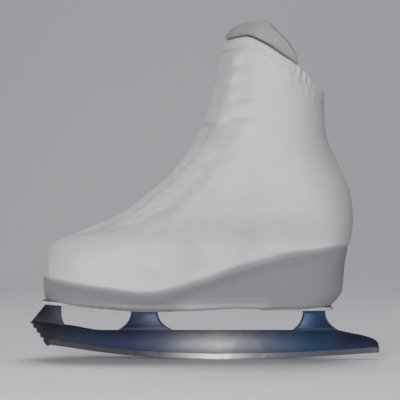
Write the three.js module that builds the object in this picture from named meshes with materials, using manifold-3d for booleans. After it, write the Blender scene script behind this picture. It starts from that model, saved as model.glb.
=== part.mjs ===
// A left figure skate wearing a stretch-fabric boot cover.
// Millimetres, +Z up, toe towards -X, outer side of the foot towards -Y.
// The origin is on the ice, under the middle of the blade's length and thickness.
import * as THREE from "three";
import { mergeVertices } from "three/addons/utils/BufferGeometryUtils.js";
import Module from "manifold-3d";

const wasm = await Module();
wasm.setup();

// ---------------------------------------------------------------- driving dimensions
const BOOT_LENGTH = 258; // toe to the back of the heel, over the cover
const BOOT_HEIGHT = 236.7; // underside of the cover to the top of the tongue
const PICK_REACH = 10.9; // toe pick in front of the boot
const TAIL_REACH = 22; // blade behind the boot
const SOLE_Z = 42.5; // underside of the cover above the ice, at the ball

const BALL_HALF = 46; // half widths over the cover
const WAIST_HALF = 38;
const HEEL_HALF = 33.5;
const ANKLE_HALF = 36.8;
const COLLAR_HALF = 41.5;
const SOLE_TUCK = 0.13; // share of the width lost below the feather line
const TOE_SWING = 5; // how far the toe curves towards the big toe

const COVER = 1.0; // fabric thickness
const LEATHER = 2.0;
const STIFFENER = 1.2; // toe puff and heel counter
const LINING = 2.0;
const TONGUE = 2.4;
const TONGUE_PAD = 3.0;
const COLLAR_PAD = 4.5;
const CLEARANCE = 0.35; // between neighbouring pieces
const LACE_ROOM = 4.6; // extra depth under the cover for hooks and laces
const EDGE_ROUND = 5; // bottom edge of the cover

const SOLE_PLATE = 2.5; // steel plates under sole and heel
const BLADE_THICKNESS = 3.9;
const STANCHION_THICKNESS = 5.2;
const RUNNER_TOP = 24.2; // top edge of the runner above the ice
const RUNNER_TOP_RISE = 4.6; // how much higher the top edge is at the toe pick

const LACE_RADIUS = 0.95;
const FACING_GAP = 13; // half the gap between the facings
const EYELET_INSET = 11; // eyelet row behind the facing's edge
const EYELET_PAIRS = 5;
const HOOK_PAIRS = 4;
const EYELET_BORE = 1.9;
const EYELET_WALL = 0.6;
const EYELET_FLANGE = 3.9;
const EYELET_RIM = 0.9; // how far an eyelet stands out of the leather, on both faces

const SCREW_RADIUS = 1.9;
const SCREW_HEAD = 3.7;
const SCREW_LENGTH = 10.5;
const SCREW_FIT = 0.25; // round each screw in the plates and the sole
const HEM_RADIUS = 1.5; // piping round the blade openings
const TOP_HEM = 9; // height of the elastic casing at the collar

// ---------------------------------------------------------------- outlines of the boot
// Points are [height above the underside, distance behind the toe] for the nominal
// boot, NOMINAL_LENGTH by NOMINAL_HEIGHT, and are stretched to the driving dimensions.
const NOMINAL_LENGTH = 258;
const NOMINAL_HEIGHT = 236.7;
const FRONT = [
  [0, 2.6], [6, 1.1], [16, 0.3], [30, 0], [42, 1], [50, 4.3], [55.5, 10.5], [61, 21.5],
  [70, 45], [80, 66.5], [95, 86.5], [115, 109], [135, 124], [155, 133.3], [185, 143],
  [220, 150.6], [227, 152.8], [232, 156.3], [235.4, 161], [236.7, 167],
];
const BACK = [
  [0, 238], [5, 242.6], [10, 246.6], [15, 249], [25, 249.9], [35, 250.8], [45, 252.5],
  [65, 257], [75, 258], [95, 255.7], [115, 248.2], [135, 239], [147, 235.4], [160, 234.1],
  [236.7, 233],
];
// [distance behind the toe, value]
const UNDERSIDE = [[0, 5.6], [47, 2.4], [89, -0.3], [114, -0.3], [164, 1.5], [195, 0.4], [258, 0.3]];
const FEATHER = [[0, 26], [45, 19], [89, 15], [130, 24], [172, 38], [215, 48], [258, 53]];
const PLAN_HALF = [
  [0, BALL_HALF - 5], [30, BALL_HALF - 3], [74, BALL_HALF], [145, WAIST_HALF],
  [200, HEEL_HALF], [258, HEEL_HALF],
];
// [height, value]: half width of the leg part, and how far each end of a level rounds off
const SHAFT_HALF = [
  [60, ANKLE_HALF + 2.5], [118, ANKLE_HALF], [150, ANKLE_HALF + 0.4], [190, COLLAR_HALF - 2],
  [236.7, COLLAR_HALF],
];
const FRONT_ROUND = [
  [0, 60], [42, 62], [52, 80], [62, 105], [70, 105], [80, 86], [95, 67], [115, 55], [135, 50],
  [155, 45], [236.7, 43],
];
const BACK_ROUND = [[0, 30], [60, 34], [110, 40], [150, 46], [236.7, 44]];
// the collar's top edge in side view, [distance behind the toe, height]
const COLLAR = [
  [140, 219.5], [153, 222], [168, 223.6], [182, 217.8], [201, 206], [213, 198.6], [217, 195], [231.5, 181.6],
  [240, 177],
];
// the tongue's outline above the collar, [distance behind the toe, height]
const TONGUE_TOP = [
  [140, 240], [182.5, 236.4], [192.5, 229.5], [204.5, 219.5], [208.5, 214], [213.5, 200],
  [203, 186], [180, 158], [150, 120], [118, 84], [72, 56], [44, 66], [60, 90], [110, 150],
];
// the padding behind it stays inside that outline
const TONGUE_PAD_OUTLINE = [
  [140, 232], [180, 231], [190, 224], [201, 214], [205, 208], [208, 198], [198, 186], [175, 158], [145, 120],
  [112, 84], [82, 68], [60, 90], [110, 150],
];

// heights of the level sections that the surface is made of
const LEVELS = [
  0, 1, 2.6, 5.5, 11, 18, 27, 37, 45, 51, 56, 61, 67, 75, 85, 97, 111, 126, 143, 162, 184, 205,
  218, 226, 232, 236.7,
];
const AROUND = 12; // steps from the front to the back of a level, on each side

// ---------------------------------------------------------------- curves
// A monotone cubic through [key, value] points, constant beyond the ends.
function through(points) {
  const n = points.length;
  const slope = points.slice(1).map((p, i) => (p[1] - points[i][1]) / (p[0] - points[i][0]));
  const tangent = points.map((_, i) => {
    if (i === 0) return slope[0];
    if (i === n - 1) return slope[n - 2];
    return slope[i - 1] * slope[i] <= 0 ? 0 : 2 / (1 / slope[i - 1] + 1 / slope[i]);
  });
  return (key) => {
    if (key <= points[0][0]) return points[0][1];
    if (key >= points[n - 1][0]) return points[n - 1][1];
    let i = 0;
    while (points[i + 1][0] < key) i++;
    const span = points[i + 1][0] - points[i][0];
    const t = (key - points[i][0]) / span;
    return (
      points[i][1] * (1 + 2 * t) * (1 - t) ** 2 +
      tangent[i] * span * t * (1 - t) ** 2 +
      points[i + 1][1] * t * t * (3 - 2 * t) +
      tangent[i + 1] * span * t * t * (t - 1)
    );
  };
}
const smoothstep = (from, to, value) => {
  const t = Math.min(1, Math.max(0, (value - from) / (to - from)));
  return t * t * (3 - 2 * t);
};
const lengthwise = BOOT_LENGTH / NOMINAL_LENGTH;
const upwards = BOOT_HEIGHT / NOMINAL_HEIGHT;
const TOE_X = -(BOOT_LENGTH + TAIL_REACH - PICK_REACH) / 2;
const atX = (behindToe) => TOE_X + behindToe * lengthwise;
const atZ = (height) => SOLE_Z + height * upwards;
const behindToe = (x) => (x - TOE_X) / lengthwise;

const front = through(FRONT);
const back = through(BACK);
const underside = through(UNDERSIDE);
const feather = through(FEATHER);
const planHalf = through(PLAN_HALF);
const shaftHalf = through(SHAFT_HALF);
const frontRound = through(FRONT_ROUND);
const backRound = through(BACK_ROUND);
const collar = through(COLLAR);

// underside of the cover, top of the outsole and collar's edge, above the ice, at x
const coverBottom = (x) => SOLE_Z + underside(behindToe(x));
const soleBottom = (x) => coverBottom(x) + COVER + CLEARANCE;
const featherZ = (x) => atZ(feather(behindToe(x)));
const collarZ = (x) => atZ(collar(behindToe(x)));

// ---------------------------------------------------------------- the boot's outer surface
// How wide a level is at distance `inside` from an end that rounds off over `round`.
const endRound = (inside, round, power) => (1 - (1 - Math.min(1, inside / round)) ** power) ** (1 / power);

// The point of the outer surface at `height` (nominal), a share `t` of the way from the
// front to the back, on `side` -1 (outer) or +1 (inner). Rounded: with the tucked edge.
function surface(height, t, side, rounded) {
  const tuck = rounded && height < EDGE_ROUND
    ? EDGE_ROUND - Math.sqrt(EDGE_ROUND ** 2 - (EDGE_ROUND - height) ** 2)
    : 0;
  const from = front(height) + tuck;
  const to = back(height) - tuck;
  const u = from + (to - from) * t;
  const toeness = 1 - smoothstep(52, 95, height);
  const width = planHalf(u) * toeness + shaftHalf(height) * (1 - toeness);
  const tucked = SOLE_TUCK * smoothstep(0, 13, feather(u) - height);
  const half =
    Math.max(0, width * (1 - tucked) - tuck) *
    endRound(u - from, frontRound(height), 2 + 0.4 * toeness) *
    endRound(to - u, backRound(height), 2 + 0.3 * toeness);
  const swing = TOE_SWING * Math.max(0, (74 - u) / 74) ** 2;
  const bend = underside(u) * (1 - smoothstep(0, 34, height));
  return new THREE.Vector3(atX(u), side * half + swing, atZ(height) + bend);
}

// Grid of points and outward normals: rows are levels, columns run front, outer side, back, inner side.
function surfaceGrid(rounded) {
  const columns = 2 * AROUND;
  const points = LEVELS.map((height) =>
    Array.from({ length: columns }, (_, i) => {
      const t = (1 - Math.cos((Math.PI * Math.min(i, columns - i)) / AROUND)) / 2;
      return surface(height, t, i <= AROUND ? -1 : 1, rounded);
    }),
  );
  const normals = points.map((row, j) =>
    row.map((_, i) => {
      const along = row[(i + 1) % columns].clone().sub(row[(i + columns - 1) % columns]);
      const up = points[Math.min(j + 1, LEVELS.length - 1)][i].clone().sub(points[Math.max(j - 1, 0)][i]);
      const normal = along.cross(up);
      if (!rounded && LEVELS[j] < 12) normal.z = 0;
      normal.z *= 1 - smoothstep(196, 222, LEVELS[j]);
      return normal.normalize();
    }),
  );
  return { points, normals, columns };
}
const grids = { rounded: surfaceGrid(true), plain: surfaceGrid(false) };
// The boot stands with its widest points equally far from the blade's plane.
const reach = grids.plain.points.flat().map((p) => p.y);
const Y_SHIFT = -(Math.max(...reach) + Math.min(...reach)) / 2;

const LACING_SIDE = [29, 38]; // from the middle, where that depth starts to end and has ended
const LACING_START = [58, 72]; // heights over which it starts, above the toe
// Depth under the outer surface that hooks and laces need at a point of it.
function laceRoom(point, height, t) {
  const sideways = Math.abs(point.y);
  const near = 1 - smoothstep(...LACING_SIDE, sideways);
  return LACE_ROOM * near * smoothstep(...LACING_START, height) * (t < 0.5 ? 1 : 0);
}

// ---------------------------------------------------------------- solids
function solidFrom(positions, indices) {
  const mesh = new wasm.Mesh({
    numProp: 3,
    vertProperties: new Float32Array(positions),
    triVerts: new Uint32Array(indices),
  });
  return new wasm.Manifold(mesh);
}

// The closed solid under the outer surface, `depth` below it; depth is a number or depth(point, room).
function bootForm(depth, kind = "plain") {
  const { points, normals, columns } = grids[kind];
  const positions = [];
  points.forEach((row, j) =>
    row.forEach((point, i) => {
      const t = (1 - Math.cos((Math.PI * Math.min(i, columns - i)) / AROUND)) / 2;
      const room = laceRoom(point, LEVELS[j], t);
      const inset = typeof depth === "function" ? depth(point, room) : depth;
      positions.push(
        point.x - normals[j][i].x * inset,
        point.y - normals[j][i].y * inset + Y_SHIFT,
        point.z - normals[j][i].z * inset,
      );
    }),
  );
  const indices = [];
  const at = (j, i) => j * columns + ((i + columns) % columns);
  for (let j = 0; j + 1 < LEVELS.length; j++)
    for (let i = 0; i < columns; i++)
      indices.push(at(j, i), at(j, i + 1), at(j + 1, i + 1), at(j, i), at(j + 1, i + 1), at(j + 1, i));
  // The underside and the top are closed with strips between the outer and the inner side.
  for (const [j, turned] of [[0, false], [LEVELS.length - 1, true]])
    for (let i = 0; i < AROUND; i++) {
      const [near, next] = [at(j, i), at(j, i + 1)];
      const [nextAcross, nearAcross] = [at(j, columns - i - 1), at(j, columns - i)];
      for (const [p, q, r] of [[near, nearAcross, nextAcross], [near, nextAcross, next]])
        if (p !== q && q !== r && p !== r) indices.push(...(turned ? [p, r, q] : [p, q, r]));
    }
  return solidFrom(positions, indices);
}

// A geometry's solid, with shared corners merged.
function solidOf(geometry) {
  const bare = geometry.index ? geometry.toNonIndexed() : geometry.clone();
  bare.deleteAttribute("normal");
  bare.deleteAttribute("uv");
  const merged = mergeVertices(bare, 1e-4);
  return solidFrom(merged.attributes.position.array, merged.index.array);
}

// A [radius, z] profile turned about the z axis.
function turning(profile, sides) {
  const corners = profile.map(([r, z]) => new THREE.Vector2(r, z));
  return solidOf(new THREE.LatheGeometry(corners, sides).rotateX(Math.PI / 2));
}

// An outline in side view, [x, z] points, extruded across the skate between two y values.
function prism(outline, yFrom = -80, yTo = 80) {
  const shape = new THREE.Shape(outline.map(([x, z]) => new THREE.Vector2(x, z)));
  const geometry = new THREE.ExtrudeGeometry(shape, { depth: yTo - yFrom, bevelEnabled: false });
  return solidOf(geometry.rotateX(Math.PI / 2).translate(0, yTo, 0));
}

// An outline in plan, [x, y] points, extruded up between two heights.
function planPrism(outline, zFrom, zTo) {
  const shape = new THREE.Shape(outline.map(([x, y]) => new THREE.Vector2(x, y)));
  const geometry = new THREE.ExtrudeGeometry(shape, { depth: zTo - zFrom, bevelEnabled: false });
  return solidOf(geometry.translate(0, 0, zFrom));
}

// Side-view outline between two heights that vary along x.
function bandOutline(xFrom, xTo, low, high, steps = 14) {
  const xs = Array.from({ length: steps + 1 }, (_, i) => xFrom + ((xTo - xFrom) * i) / steps);
  return [...xs.map((x) => [x, low(x)]), ...xs.reverse().map((x) => [x, high(x)])];
}
const nominal = (outline) => outline.map(([u, height]) => [atX(u), atZ(height)]);

// Corners of a circle round a centre, in the plane of two unit vectors.
function circle(centre, across, up, radius, sides) {
  return Array.from({ length: sides }, (_, s) => (2 * Math.PI * s) / sides).flatMap((angle) =>
    centre
      .clone()
      .addScaledVector(across, radius * Math.cos(angle))
      .addScaledVector(up, radius * Math.sin(angle))
      .toArray());
}

// A round-sectioned closed ring along points.
function ring(points, radius, sides = 6) {
  const curve = new THREE.CatmullRomCurve3(points, true);
  const steps = points.length;
  const positions = [];
  for (let k = 0; k < steps; k++) {
    const centre = curve.getPoint(k / steps);
    const along = curve.getTangent(k / steps);
    const across = new THREE.Vector3(-along.y, along.x, 0).normalize();
    const up = along.clone().cross(across).normalize();
    positions.push(...circle(centre, across, up, radius, sides));
  }
  const indices = [];
  const at = (k, s) => (k % steps) * sides + (s % sides);
  for (let k = 0; k < steps; k++)
    for (let s = 0; s < sides; s++)
      indices.push(at(k, s), at(k + 1, s), at(k + 1, s + 1), at(k, s), at(k + 1, s + 1), at(k, s + 1));
  const made = solidFrom(positions, indices);
  return made.volume() < 0 ? solidFrom(positions, indices.reverse()) : made;
}

// A cord along points: one ring of corners at each point and one between far points.
function cord(points, radius, sides = 6) {
  const curve = new THREE.CatmullRomCurve3(points, false, "centripetal");
  const shares = points.flatMap((p, i) => {
    const share = i / (points.length - 1);
    const far = i + 1 < points.length && p.distanceTo(points[i + 1]) > 3 * radius;
    return far ? [share, (i + 0.5) / (points.length - 1)] : [share];
  });
  const positions = [];
  let across = new THREE.Vector3(0, 0, 1);
  shares.forEach((share) => {
    const centre = curve.getPoint(share);
    const along = curve.getTangent(share);
    across = across.addScaledVector(along, -along.dot(across)).normalize();
    const third = along.clone().cross(across);
    positions.push(...circle(centre, across, third, radius, sides));
  });
  const indices = [];
  const last = shares.length - 1;
  for (let k = 0; k < last; k++)
    for (let s = 0; s < sides; s++) {
      const [a, b] = [k * sides + s, k * sides + ((s + 1) % sides)];
      indices.push(a, b, b + sides, a, b + sides, a + sides);
    }
  for (let s = 1; s + 1 < sides; s++) {
    indices.push(0, s + 1, s);
    indices.push(last * sides, last * sides + s, last * sides + s + 1);
  }
  return solidFrom(positions, indices);
}

// ---------------------------------------------------------------- the assembly
const skate = new THREE.Group();
skate.name = "figure_skate";

const SIMPLIFY = 0.12; // the most a surface moves when slivers are merged away
const finishes = {
  fabric: { color: 0xe4e4e6, roughness: 0.75, metalness: 0 },
  hem: { color: 0xd9d9dc, roughness: 0.8, metalness: 0 },
  leather: { color: 0xe9e8e4, roughness: 0.5, metalness: 0 },
  lining: { color: 0xd8d3c8, roughness: 0.9, metalness: 0 },
  padding: { color: 0xcfcac0, roughness: 0.9, metalness: 0 },
  board: { color: 0xa98c66, roughness: 0.8, metalness: 0 },
  sole: { color: 0x8a6a48, roughness: 0.6, metalness: 0 },
  chrome: { color: 0x8e98ad, roughness: 0.15, metalness: 1 },
  steel: { color: 0x9a9ca0, roughness: 0.35, metalness: 1 },
  lace: { color: 0xf0efea, roughness: 0.85, metalness: 0 },
};

function add(name, solid, finish) {
  const mesh = solid.simplify(SIMPLIFY).getMesh();
  const stride = mesh.numProp;
  const positions = new Float32Array(mesh.numVert * 3);
  for (let i = 0; i < mesh.numVert; i++)
    positions.set(mesh.vertProperties.subarray(i * stride, i * stride + 3), i * 3);
  const geometry = new THREE.BufferGeometry();
  geometry.setAttribute("position", new THREE.BufferAttribute(positions, 3));
  geometry.setIndex(new THREE.BufferAttribute(new Uint32Array(mesh.triVerts), 1));
  const node = new THREE.Mesh(geometry, new THREE.MeshStandardMaterial(finishes[finish]));
  node.name = name;
  skate.add(node);
  return node;
}

// ---------------------------------------------------------------- blade
const NECK = CLEARANCE; // brazed joints
const pickTip = [TOE_X - PICK_REACH, 30.6];
const dragPick = [TOE_X + 3.4, 11];
const tailX = TOE_X + BOOT_LENGTH + TAIL_REACH;
const CONTACT = 144; // point of the sole that stands over the ice contact
// running edge: [share of the length from the contact point to the end, height]
const edgeAhead = through([[0, 0], [0.3, 1.2], [0.5, 3.1], [0.7, 6.2], [0.85, 9.4], [1, 12.4]]);
const edgeBehind = through([[0, 0], [0.4, 0.9], [0.7, 2.9], [1, 5.6]]);
const edgeZ = (x) => {
  const contact = atX(CONTACT);
  return x < contact
    ? edgeAhead((contact - x) / (contact - dragPick[0]))
    : edgeBehind((x - contact) / (tailX - contact));
};
const runnerTop = (x) => RUNNER_TOP + RUNNER_TOP_RISE * (1 - smoothstep(atX(16), atX(50), x));
const heelStanchionBack = atX(246);

function pickTeeth(teeth, depth) {
  const points = [];
  const [x0, z0] = pickTip;
  const [x1, z1] = dragPick;
  const length = Math.hypot(x1 - x0, z1 - z0);
  const inward = [(z0 - z1) / length, (x1 - x0) / length];
  const notchLead = 0.09; // each notch lies just before its tooth, as a share of the pick's front
  const onFront = (share) => [x0 + (x1 - x0) * share, z0 + (z1 - z0) * share];
  for (let k = 1; k < teeth; k++) {
    const notch = onFront(k / teeth - notchLead);
    points.push([notch[0] + inward[0] * depth, notch[1] + inward[1] * depth]);
    points.push(onFront(k / teeth));
  }
  return points;
}
const edgeFrom = dragPick[0] + 3.6;
const edgeXs = Array.from({ length: 23 }, (_, i) => edgeFrom + ((tailX - edgeFrom) * i) / 22);
const topXs = Array.from({ length: 9 }, (_, i) => atX(52) + ((atX(14) - atX(52)) * i) / 8);
const runnerOutline = [
  pickTip,
  ...pickTeeth(5, 1.7),
  dragPick,
  ...edgeXs.map((x) => [x, edgeZ(x)]),
  [tailX - 0.8, 13.6],
  [tailX - 5.5, 17.2],
  [tailX - 14, 19.9],
  [tailX - 26, 22.3],
  [tailX - 35, RUNNER_TOP - 0.4],
  [heelStanchionBack, RUNNER_TOP],
  ...topXs.map((x) => [x, runnerTop(x)]),
  [pickTip[0] + 1.2, 31.8],
];
const halfBlade = BLADE_THICKNESS / 2;
add("blade_runner", prism(runnerOutline, -halfBlade, halfBlade), "chrome");

// Stanchions stand on the runner and end under the plates.
const plateBottom = (x) => soleBottom(x) - CLEARANCE - SOLE_PLATE;
const halfStanchion = STANCHION_THICKNESS / 2;
const fillet = (xTop, xFoot, bulge) => (share) => xTop + (xFoot - xTop) * share ** bulge;
function stanchion(topFrom, topTo, footFrom, footTo, footZ) {
  const steps = 6;
  const foreEdge = fillet(topFrom, footFrom, 2.6);
  const aftEdge = fillet(topTo, footTo, 2.6);
  const rows = Array.from({ length: steps + 1 }, (_, k) => k / steps);
  const height = (x, share) => plateBottom(x) - NECK + (footZ(x) + NECK - (plateBottom(x) - NECK)) * share;
  return [
    ...rows.map((s) => [foreEdge(s), height(foreEdge(s), s)]),
    ...rows.reverse().map((s) => [aftEdge(s), height(aftEdge(s), s)]),
  ];
}
const toeTop = [atX(2.4), atX(15.2)];
const toeStanchion = [
  [toeTop[0], plateBottom(toeTop[0]) - NECK],
  [pickTip[0] + 1.5, 31.8 + NECK],
  [atX(14), runnerTop(atX(14)) + NECK + 1.6],
  [atX(17.5), runnerTop(atX(17.5)) + NECK],
  [atX(15.6), 36],
  [toeTop[1], plateBottom(toeTop[1]) - NECK],
];
add("toe_stanchion", prism(toeStanchion, -halfStanchion, halfStanchion), "chrome");
const middleStanchion = stanchion(atX(73.5), atX(95.5), atX(63), atX(107), runnerTop);
const heelStanchion = stanchion(atX(216.5), atX(235), atX(208.5), heelStanchionBack - 0.6, runnerTop);
add("middle_stanchion", prism(middleStanchion, -halfStanchion, halfStanchion), "chrome");
add("heel_stanchion", prism(heelStanchion, -halfStanchion, halfStanchion), "chrome");

// Plate outlines in plan: [share of the length, half width].
function plateOutline(xFrom, xTo, halves, grow = 0) {
  const half = through(halves);
  const steps = 12;
  const centre = (xFrom + xTo) / 2;
  const stretch = (xTo - xFrom + 2 * grow) / (xTo - xFrom);
  const ahead = Array.from({ length: steps + 1 }, (_, i) => (1 - Math.cos((Math.PI * i) / steps)) / 2);
  const alongX = (share) => centre + (xFrom + (xTo - xFrom) * share - centre) * stretch;
  const rim = ahead.map((share) => [alongX(share), half(share) + grow]);
  return [...rim.map(([x, y]) => [x, -y]), ...rim.reverse()];
}
const SOLE_HALVES = [[0, 11], [0.02, 15], [0.1, 19], [0.6, 27], [0.85, 25], [0.96, 21], [1, 14]];
const HEEL_HALVES = [[0, 12], [0.05, 18], [0.3, 21.5], [0.6, 21.5], [0.92, 16], [1, 9]];
const plates = {
  sole: { from: atX(2.4), to: atX(108), halves: SOLE_HALVES },
  heel: { from: atX(183), to: atX(238), halves: HEEL_HALVES },
};
const plateTop = (x) => soleBottom(x) - CLEARANCE;
function plateBlank({ from, to, halves }) {
  return prism(bandOutline(from - 2, to + 2, plateBottom, plateTop))
    .intersect(planPrism(plateOutline(from, to, halves), 20, 70));
}

// Screws: countersunk head flush with the plate, shank up into the sole. Built head down at the origin.
const HEAD_DEPTH = 1.9;
function screw(grow) {
  const profile = [
    [0, -grow], [SCREW_HEAD + grow, -grow], [SCREW_HEAD + grow, 0.3], [SCREW_RADIUS + grow, HEAD_DEPTH],
    [SCREW_RADIUS + grow, SCREW_LENGTH - 1.5], [0, SCREW_LENGTH + grow],
  ];
  return turning(profile, 10);
}
// rows of screws: plate, share of its length, share of the half width there
const screwRows = [
  ["sole", 0.16, 0.6], ["sole", 0.5, 0.72], ["sole", 0.86, 0.62], ["heel", 0.2, 0.62], ["heel", 0.78, 0.55],
];
const screwPlaces = screwRows.flatMap(([plate, share, out]) => [[plate, share, -out], [plate, share, out]])
  .map(([plate, share, out]) => {
  const { from, to, halves } = plates[plate];
  const x = from + (to - from) * share;
  return { plate, at: [x, out * through(halves)(share), plateBottom(x) - 0.1] };
});
const screwCuts = wasm.Manifold.union(screwPlaces.map(({ at }) => screw(SCREW_FIT).translate(at)));
for (const plate of ["sole", "heel"])
  add(plate + "_plate", plateBlank(plates[plate]).subtract(screwCuts), "chrome");
const counts = { sole: 0, heel: 0 };
for (const { plate, at } of screwPlaces) {
  counts[plate]++;
  add(`${plate}_screw_${counts[plate]}`, screw(0).translate(at), "steel");
}

// ---------------------------------------------------------------- sole, heel and insoles
const BREAST = atX(172); // front of the heel
const ARCH = atX(116); // where the sole leaves the plate
const SEAT = 7; // sole thickness over the heel
const LIFT = 4; // top lift under the heel
const outsoleBottom = (x) => {
  const share = smoothstep(ARCH, BREAST, x);
  return soleBottom(x) * (1 - share) + (featherZ(x) - SEAT) * share;
};
const outsoleTop = (x) => featherZ(x) - CLEARANCE;
const soleForm = bootForm(COVER + CLEARANCE + 0.2, "rounded");
const toeEnd = atX(-10);
const heelEnd = atX(268);
const SHANK = 1.6;
const SHANK_HALF = 7;
const SHANK_FIT = 0.4; // round the shank in its slot
const shankFrom = atX(104);
const shankTo = atX(222);
const shankSlot = prism(
  bandOutline(
    shankFrom - SHANK_FIT, shankTo + SHANK_FIT,
    (x) => outsoleTop(x) - SHANK - 2 * CLEARANCE, (x) => outsoleTop(x) + 2,
  ),
  -SHANK_HALF - SHANK_FIT, SHANK_HALF + SHANK_FIT,
);
add("outsole",
  soleForm.intersect(prism(bandOutline(toeEnd, heelEnd, outsoleBottom, outsoleTop, 26)))
    .subtract(screwCuts).subtract(shankSlot),
  "sole");
const shankSide = bandOutline(
  shankFrom, shankTo, (x) => outsoleTop(x) - SHANK - CLEARANCE, (x) => outsoleTop(x) - CLEARANCE,
);
add("shank", prism(shankSide, -SHANK_HALF, SHANK_HALF), "steel");
const HEEL_SETBACK = 5; // the heel starts behind the breast line
const heelPart = (low, high) => prism(bandOutline(BREAST + HEEL_SETBACK, heelEnd, low, high, 12));
add("heel_block",
  soleForm.intersect(heelPart((x) => soleBottom(x) + LIFT + CLEARANCE, (x) => outsoleBottom(x) - CLEARANCE))
    .subtract(screwCuts),
  "sole");
add("heel_top_lift",
  soleForm.intersect(heelPart(soleBottom, (x) => soleBottom(x) + LIFT)).subtract(screwCuts),
  "sole");

// depths of the layers under the outer surface
const leatherOuter = COVER + CLEARANCE;
const leatherInner = leatherOuter + LEATHER;
const stiffOuter = leatherInner + CLEARANCE;
const stiffInner = stiffOuter + STIFFENER;
const liningOuter = stiffInner + CLEARANCE;
const liningInner = liningOuter + LINING;
const tongueOuter = liningInner + CLEARANCE;
const tongueInner = tongueOuter + TONGUE;
const padInner = tongueInner + CLEARANCE + TONGUE_PAD;
const layer = (depth) => bootForm((point, room) => depth + room);
const forms = {
  leatherOuter: layer(leatherOuter),
  leatherInner: layer(leatherInner),
  stiffOuter: layer(stiffOuter),
  stiffInner: layer(stiffInner),
  liningOuter: layer(liningOuter),
  liningInner: layer(liningInner),
};
const BOARD = 2.6;
const FOOTBED = 4;
const boardTop = (x) => featherZ(x) + BOARD;
const boardForm = bootForm(leatherInner + 0.6);
add("insole_board",
  boardForm.intersect(prism(bandOutline(toeEnd, heelEnd, featherZ, boardTop, 26))).subtract(
    wasm.Manifold.union(screwPlaces.map(({ at }) => screw(0.3).translate(at)))),
  "board");
const footbedForm = bootForm(liningInner + 0.7);
// The heel seat of the footbed is one flat facet, sloped like the board under the heel.
const SEAT_FROM = atX(196);
const SEAT_TO = atX(242);
const seatSlope = (boardTop(SEAT_TO) - boardTop(SEAT_FROM)) / (SEAT_TO - SEAT_FROM);
const heelSeat = (x) => boardTop(SEAT_FROM) + CLEARANCE + FOOTBED + seatSlope * (x - SEAT_FROM);
const footbedTop = (x) => (x < SEAT_FROM ? boardTop(x) + CLEARANCE + FOOTBED : heelSeat(x));
add("footbed",
  footbedForm.intersect(prism(bandOutline(toeEnd, heelEnd, (x) => boardTop(x) + CLEARANCE, footbedTop, 32))),
  "lining");

// ---------------------------------------------------------------- upper
const aboveFeather = prism(bandOutline(toeEnd, heelEnd, (x) => featherZ(x), () => atZ(300), 26));
const aboveBoard = prism(bandOutline(toeEnd, heelEnd, (x) => boardTop(x) + CLEARANCE, () => atZ(300), 26));
const collarXs = Array.from({ length: 19 }, (_, i) => atX(140 + (100 * i) / 18));
const collarLine = (drop) => collarXs.map((x) => [x, collarZ(x) - drop]);
const belowCollar = (drop) =>
  prism([
    [toeEnd, atZ(-20)], [heelEnd, atZ(-20)], [heelEnd, collarZ(heelEnd) - drop],
    ...collarLine(drop).reverse(), [toeEnd, collarZ(collarXs[0]) - drop],
  ]);
// everything in front of the leg, where the facings, the tongue and the laces are
const frontRegion = prism(
  nominal([[30, 62], [75, 62], [130, 110], [165, 170], [178, 205], [178, 260], [30, 260]]),
);
const box = (x0, x1, y0, y1, z0, z1) => prism([[x0, z0], [x1, z0], [x1, z1], [x0, z1]], y0, y1);
const wide = (half, from = -400, to = 400) => box(from, to, -half, half, -50, 500);
const throat = frontRegion.intersect(wide(FACING_GAP));

const upper = forms.leatherOuter.subtract(forms.leatherInner)
  .intersect(aboveFeather)
  .intersect(belowCollar(TOP_HEM * 0.3));
const VAMP_SEAM = [[118, -42], [112, 18], [86, 52], [58, 80], [56, 110]];
const vampSide = (shift) =>
  prism([[toeEnd, 0], ...nominal(VAMP_SEAM).map(([x, z]) => [x + shift, z]), [toeEnd, atZ(110)]]);
add("vamp", upper.intersect(vampSide(0)), "leather");

// places on the facings: a point under the outer surface at a height and distance from the middle
function facingPlace(height, sideways, depth, side = 1) {
  const row = LEVELS.findIndex((level) => level > height) - 1;
  const share = (height - LEVELS[row]) / (LEVELS[row + 1] - LEVELS[row]);
  const onLevel = (level, t) => surface(level, t, side, false);
  const facet = (t) => onLevel(LEVELS[row], t).lerp(onLevel(LEVELS[row + 1], t), share);
  let low = 0;
  let high = 0.5;
  for (let k = 0; k < 30; k++) {
    const middle = (low + high) / 2;
    if (Math.abs(facet(middle).y) < sideways) low = middle;
    else high = middle;
  }
  const step = 1e-3;
  const along = facet(low + step).sub(facet(Math.max(0, low - step)));
  const up = surface(height + 3, low, side, false).sub(surface(height - 3, low, side, false));
  const normal = along.cross(up).normalize();
  if (normal.x > 0) normal.negate();
  if (sideways < 0.5) normal.setY(0).normalize();
  const at = facet(low).addScaledVector(normal, -depth);
  at.y += Y_SHIFT;
  return { at, normal };
}
const FIRST_EYELET = 80;
const LAST_EYELET = 130;
const FIRST_HOOK = 161;
const LAST_HOOK = 206;
// heights of a column of lacing pieces; spread over 1 brings the lower ones closer together
const column = (first, last, count, spread = 1) =>
  Array.from({ length: count }, (_, k) => first + (last - first) * (k / (count - 1)) ** spread);
const eyeletHeights = column(FIRST_EYELET, LAST_EYELET, EYELET_PAIRS, 1.25);
const hookHeights = column(FIRST_HOOK, LAST_HOOK, HOOK_PAIRS);
const facingRow = FACING_GAP + EYELET_INSET;
const bandOuter = leatherOuter + LACE_ROOM;
const bandInner = leatherInner + LACE_ROOM;

function turned(solid, { at, normal }) {
  const turn = new THREE.Matrix4().makeBasis(
    ...(() => {
      const across = new THREE.Vector3(0, 1, 0).addScaledVector(normal, -normal.y).normalize();
      return [across, normal.clone().cross(across).normalize(), normal];
    })(),
  );
  turn.setPosition(at);
  return solid.transform(turn.toArray());
}
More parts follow.
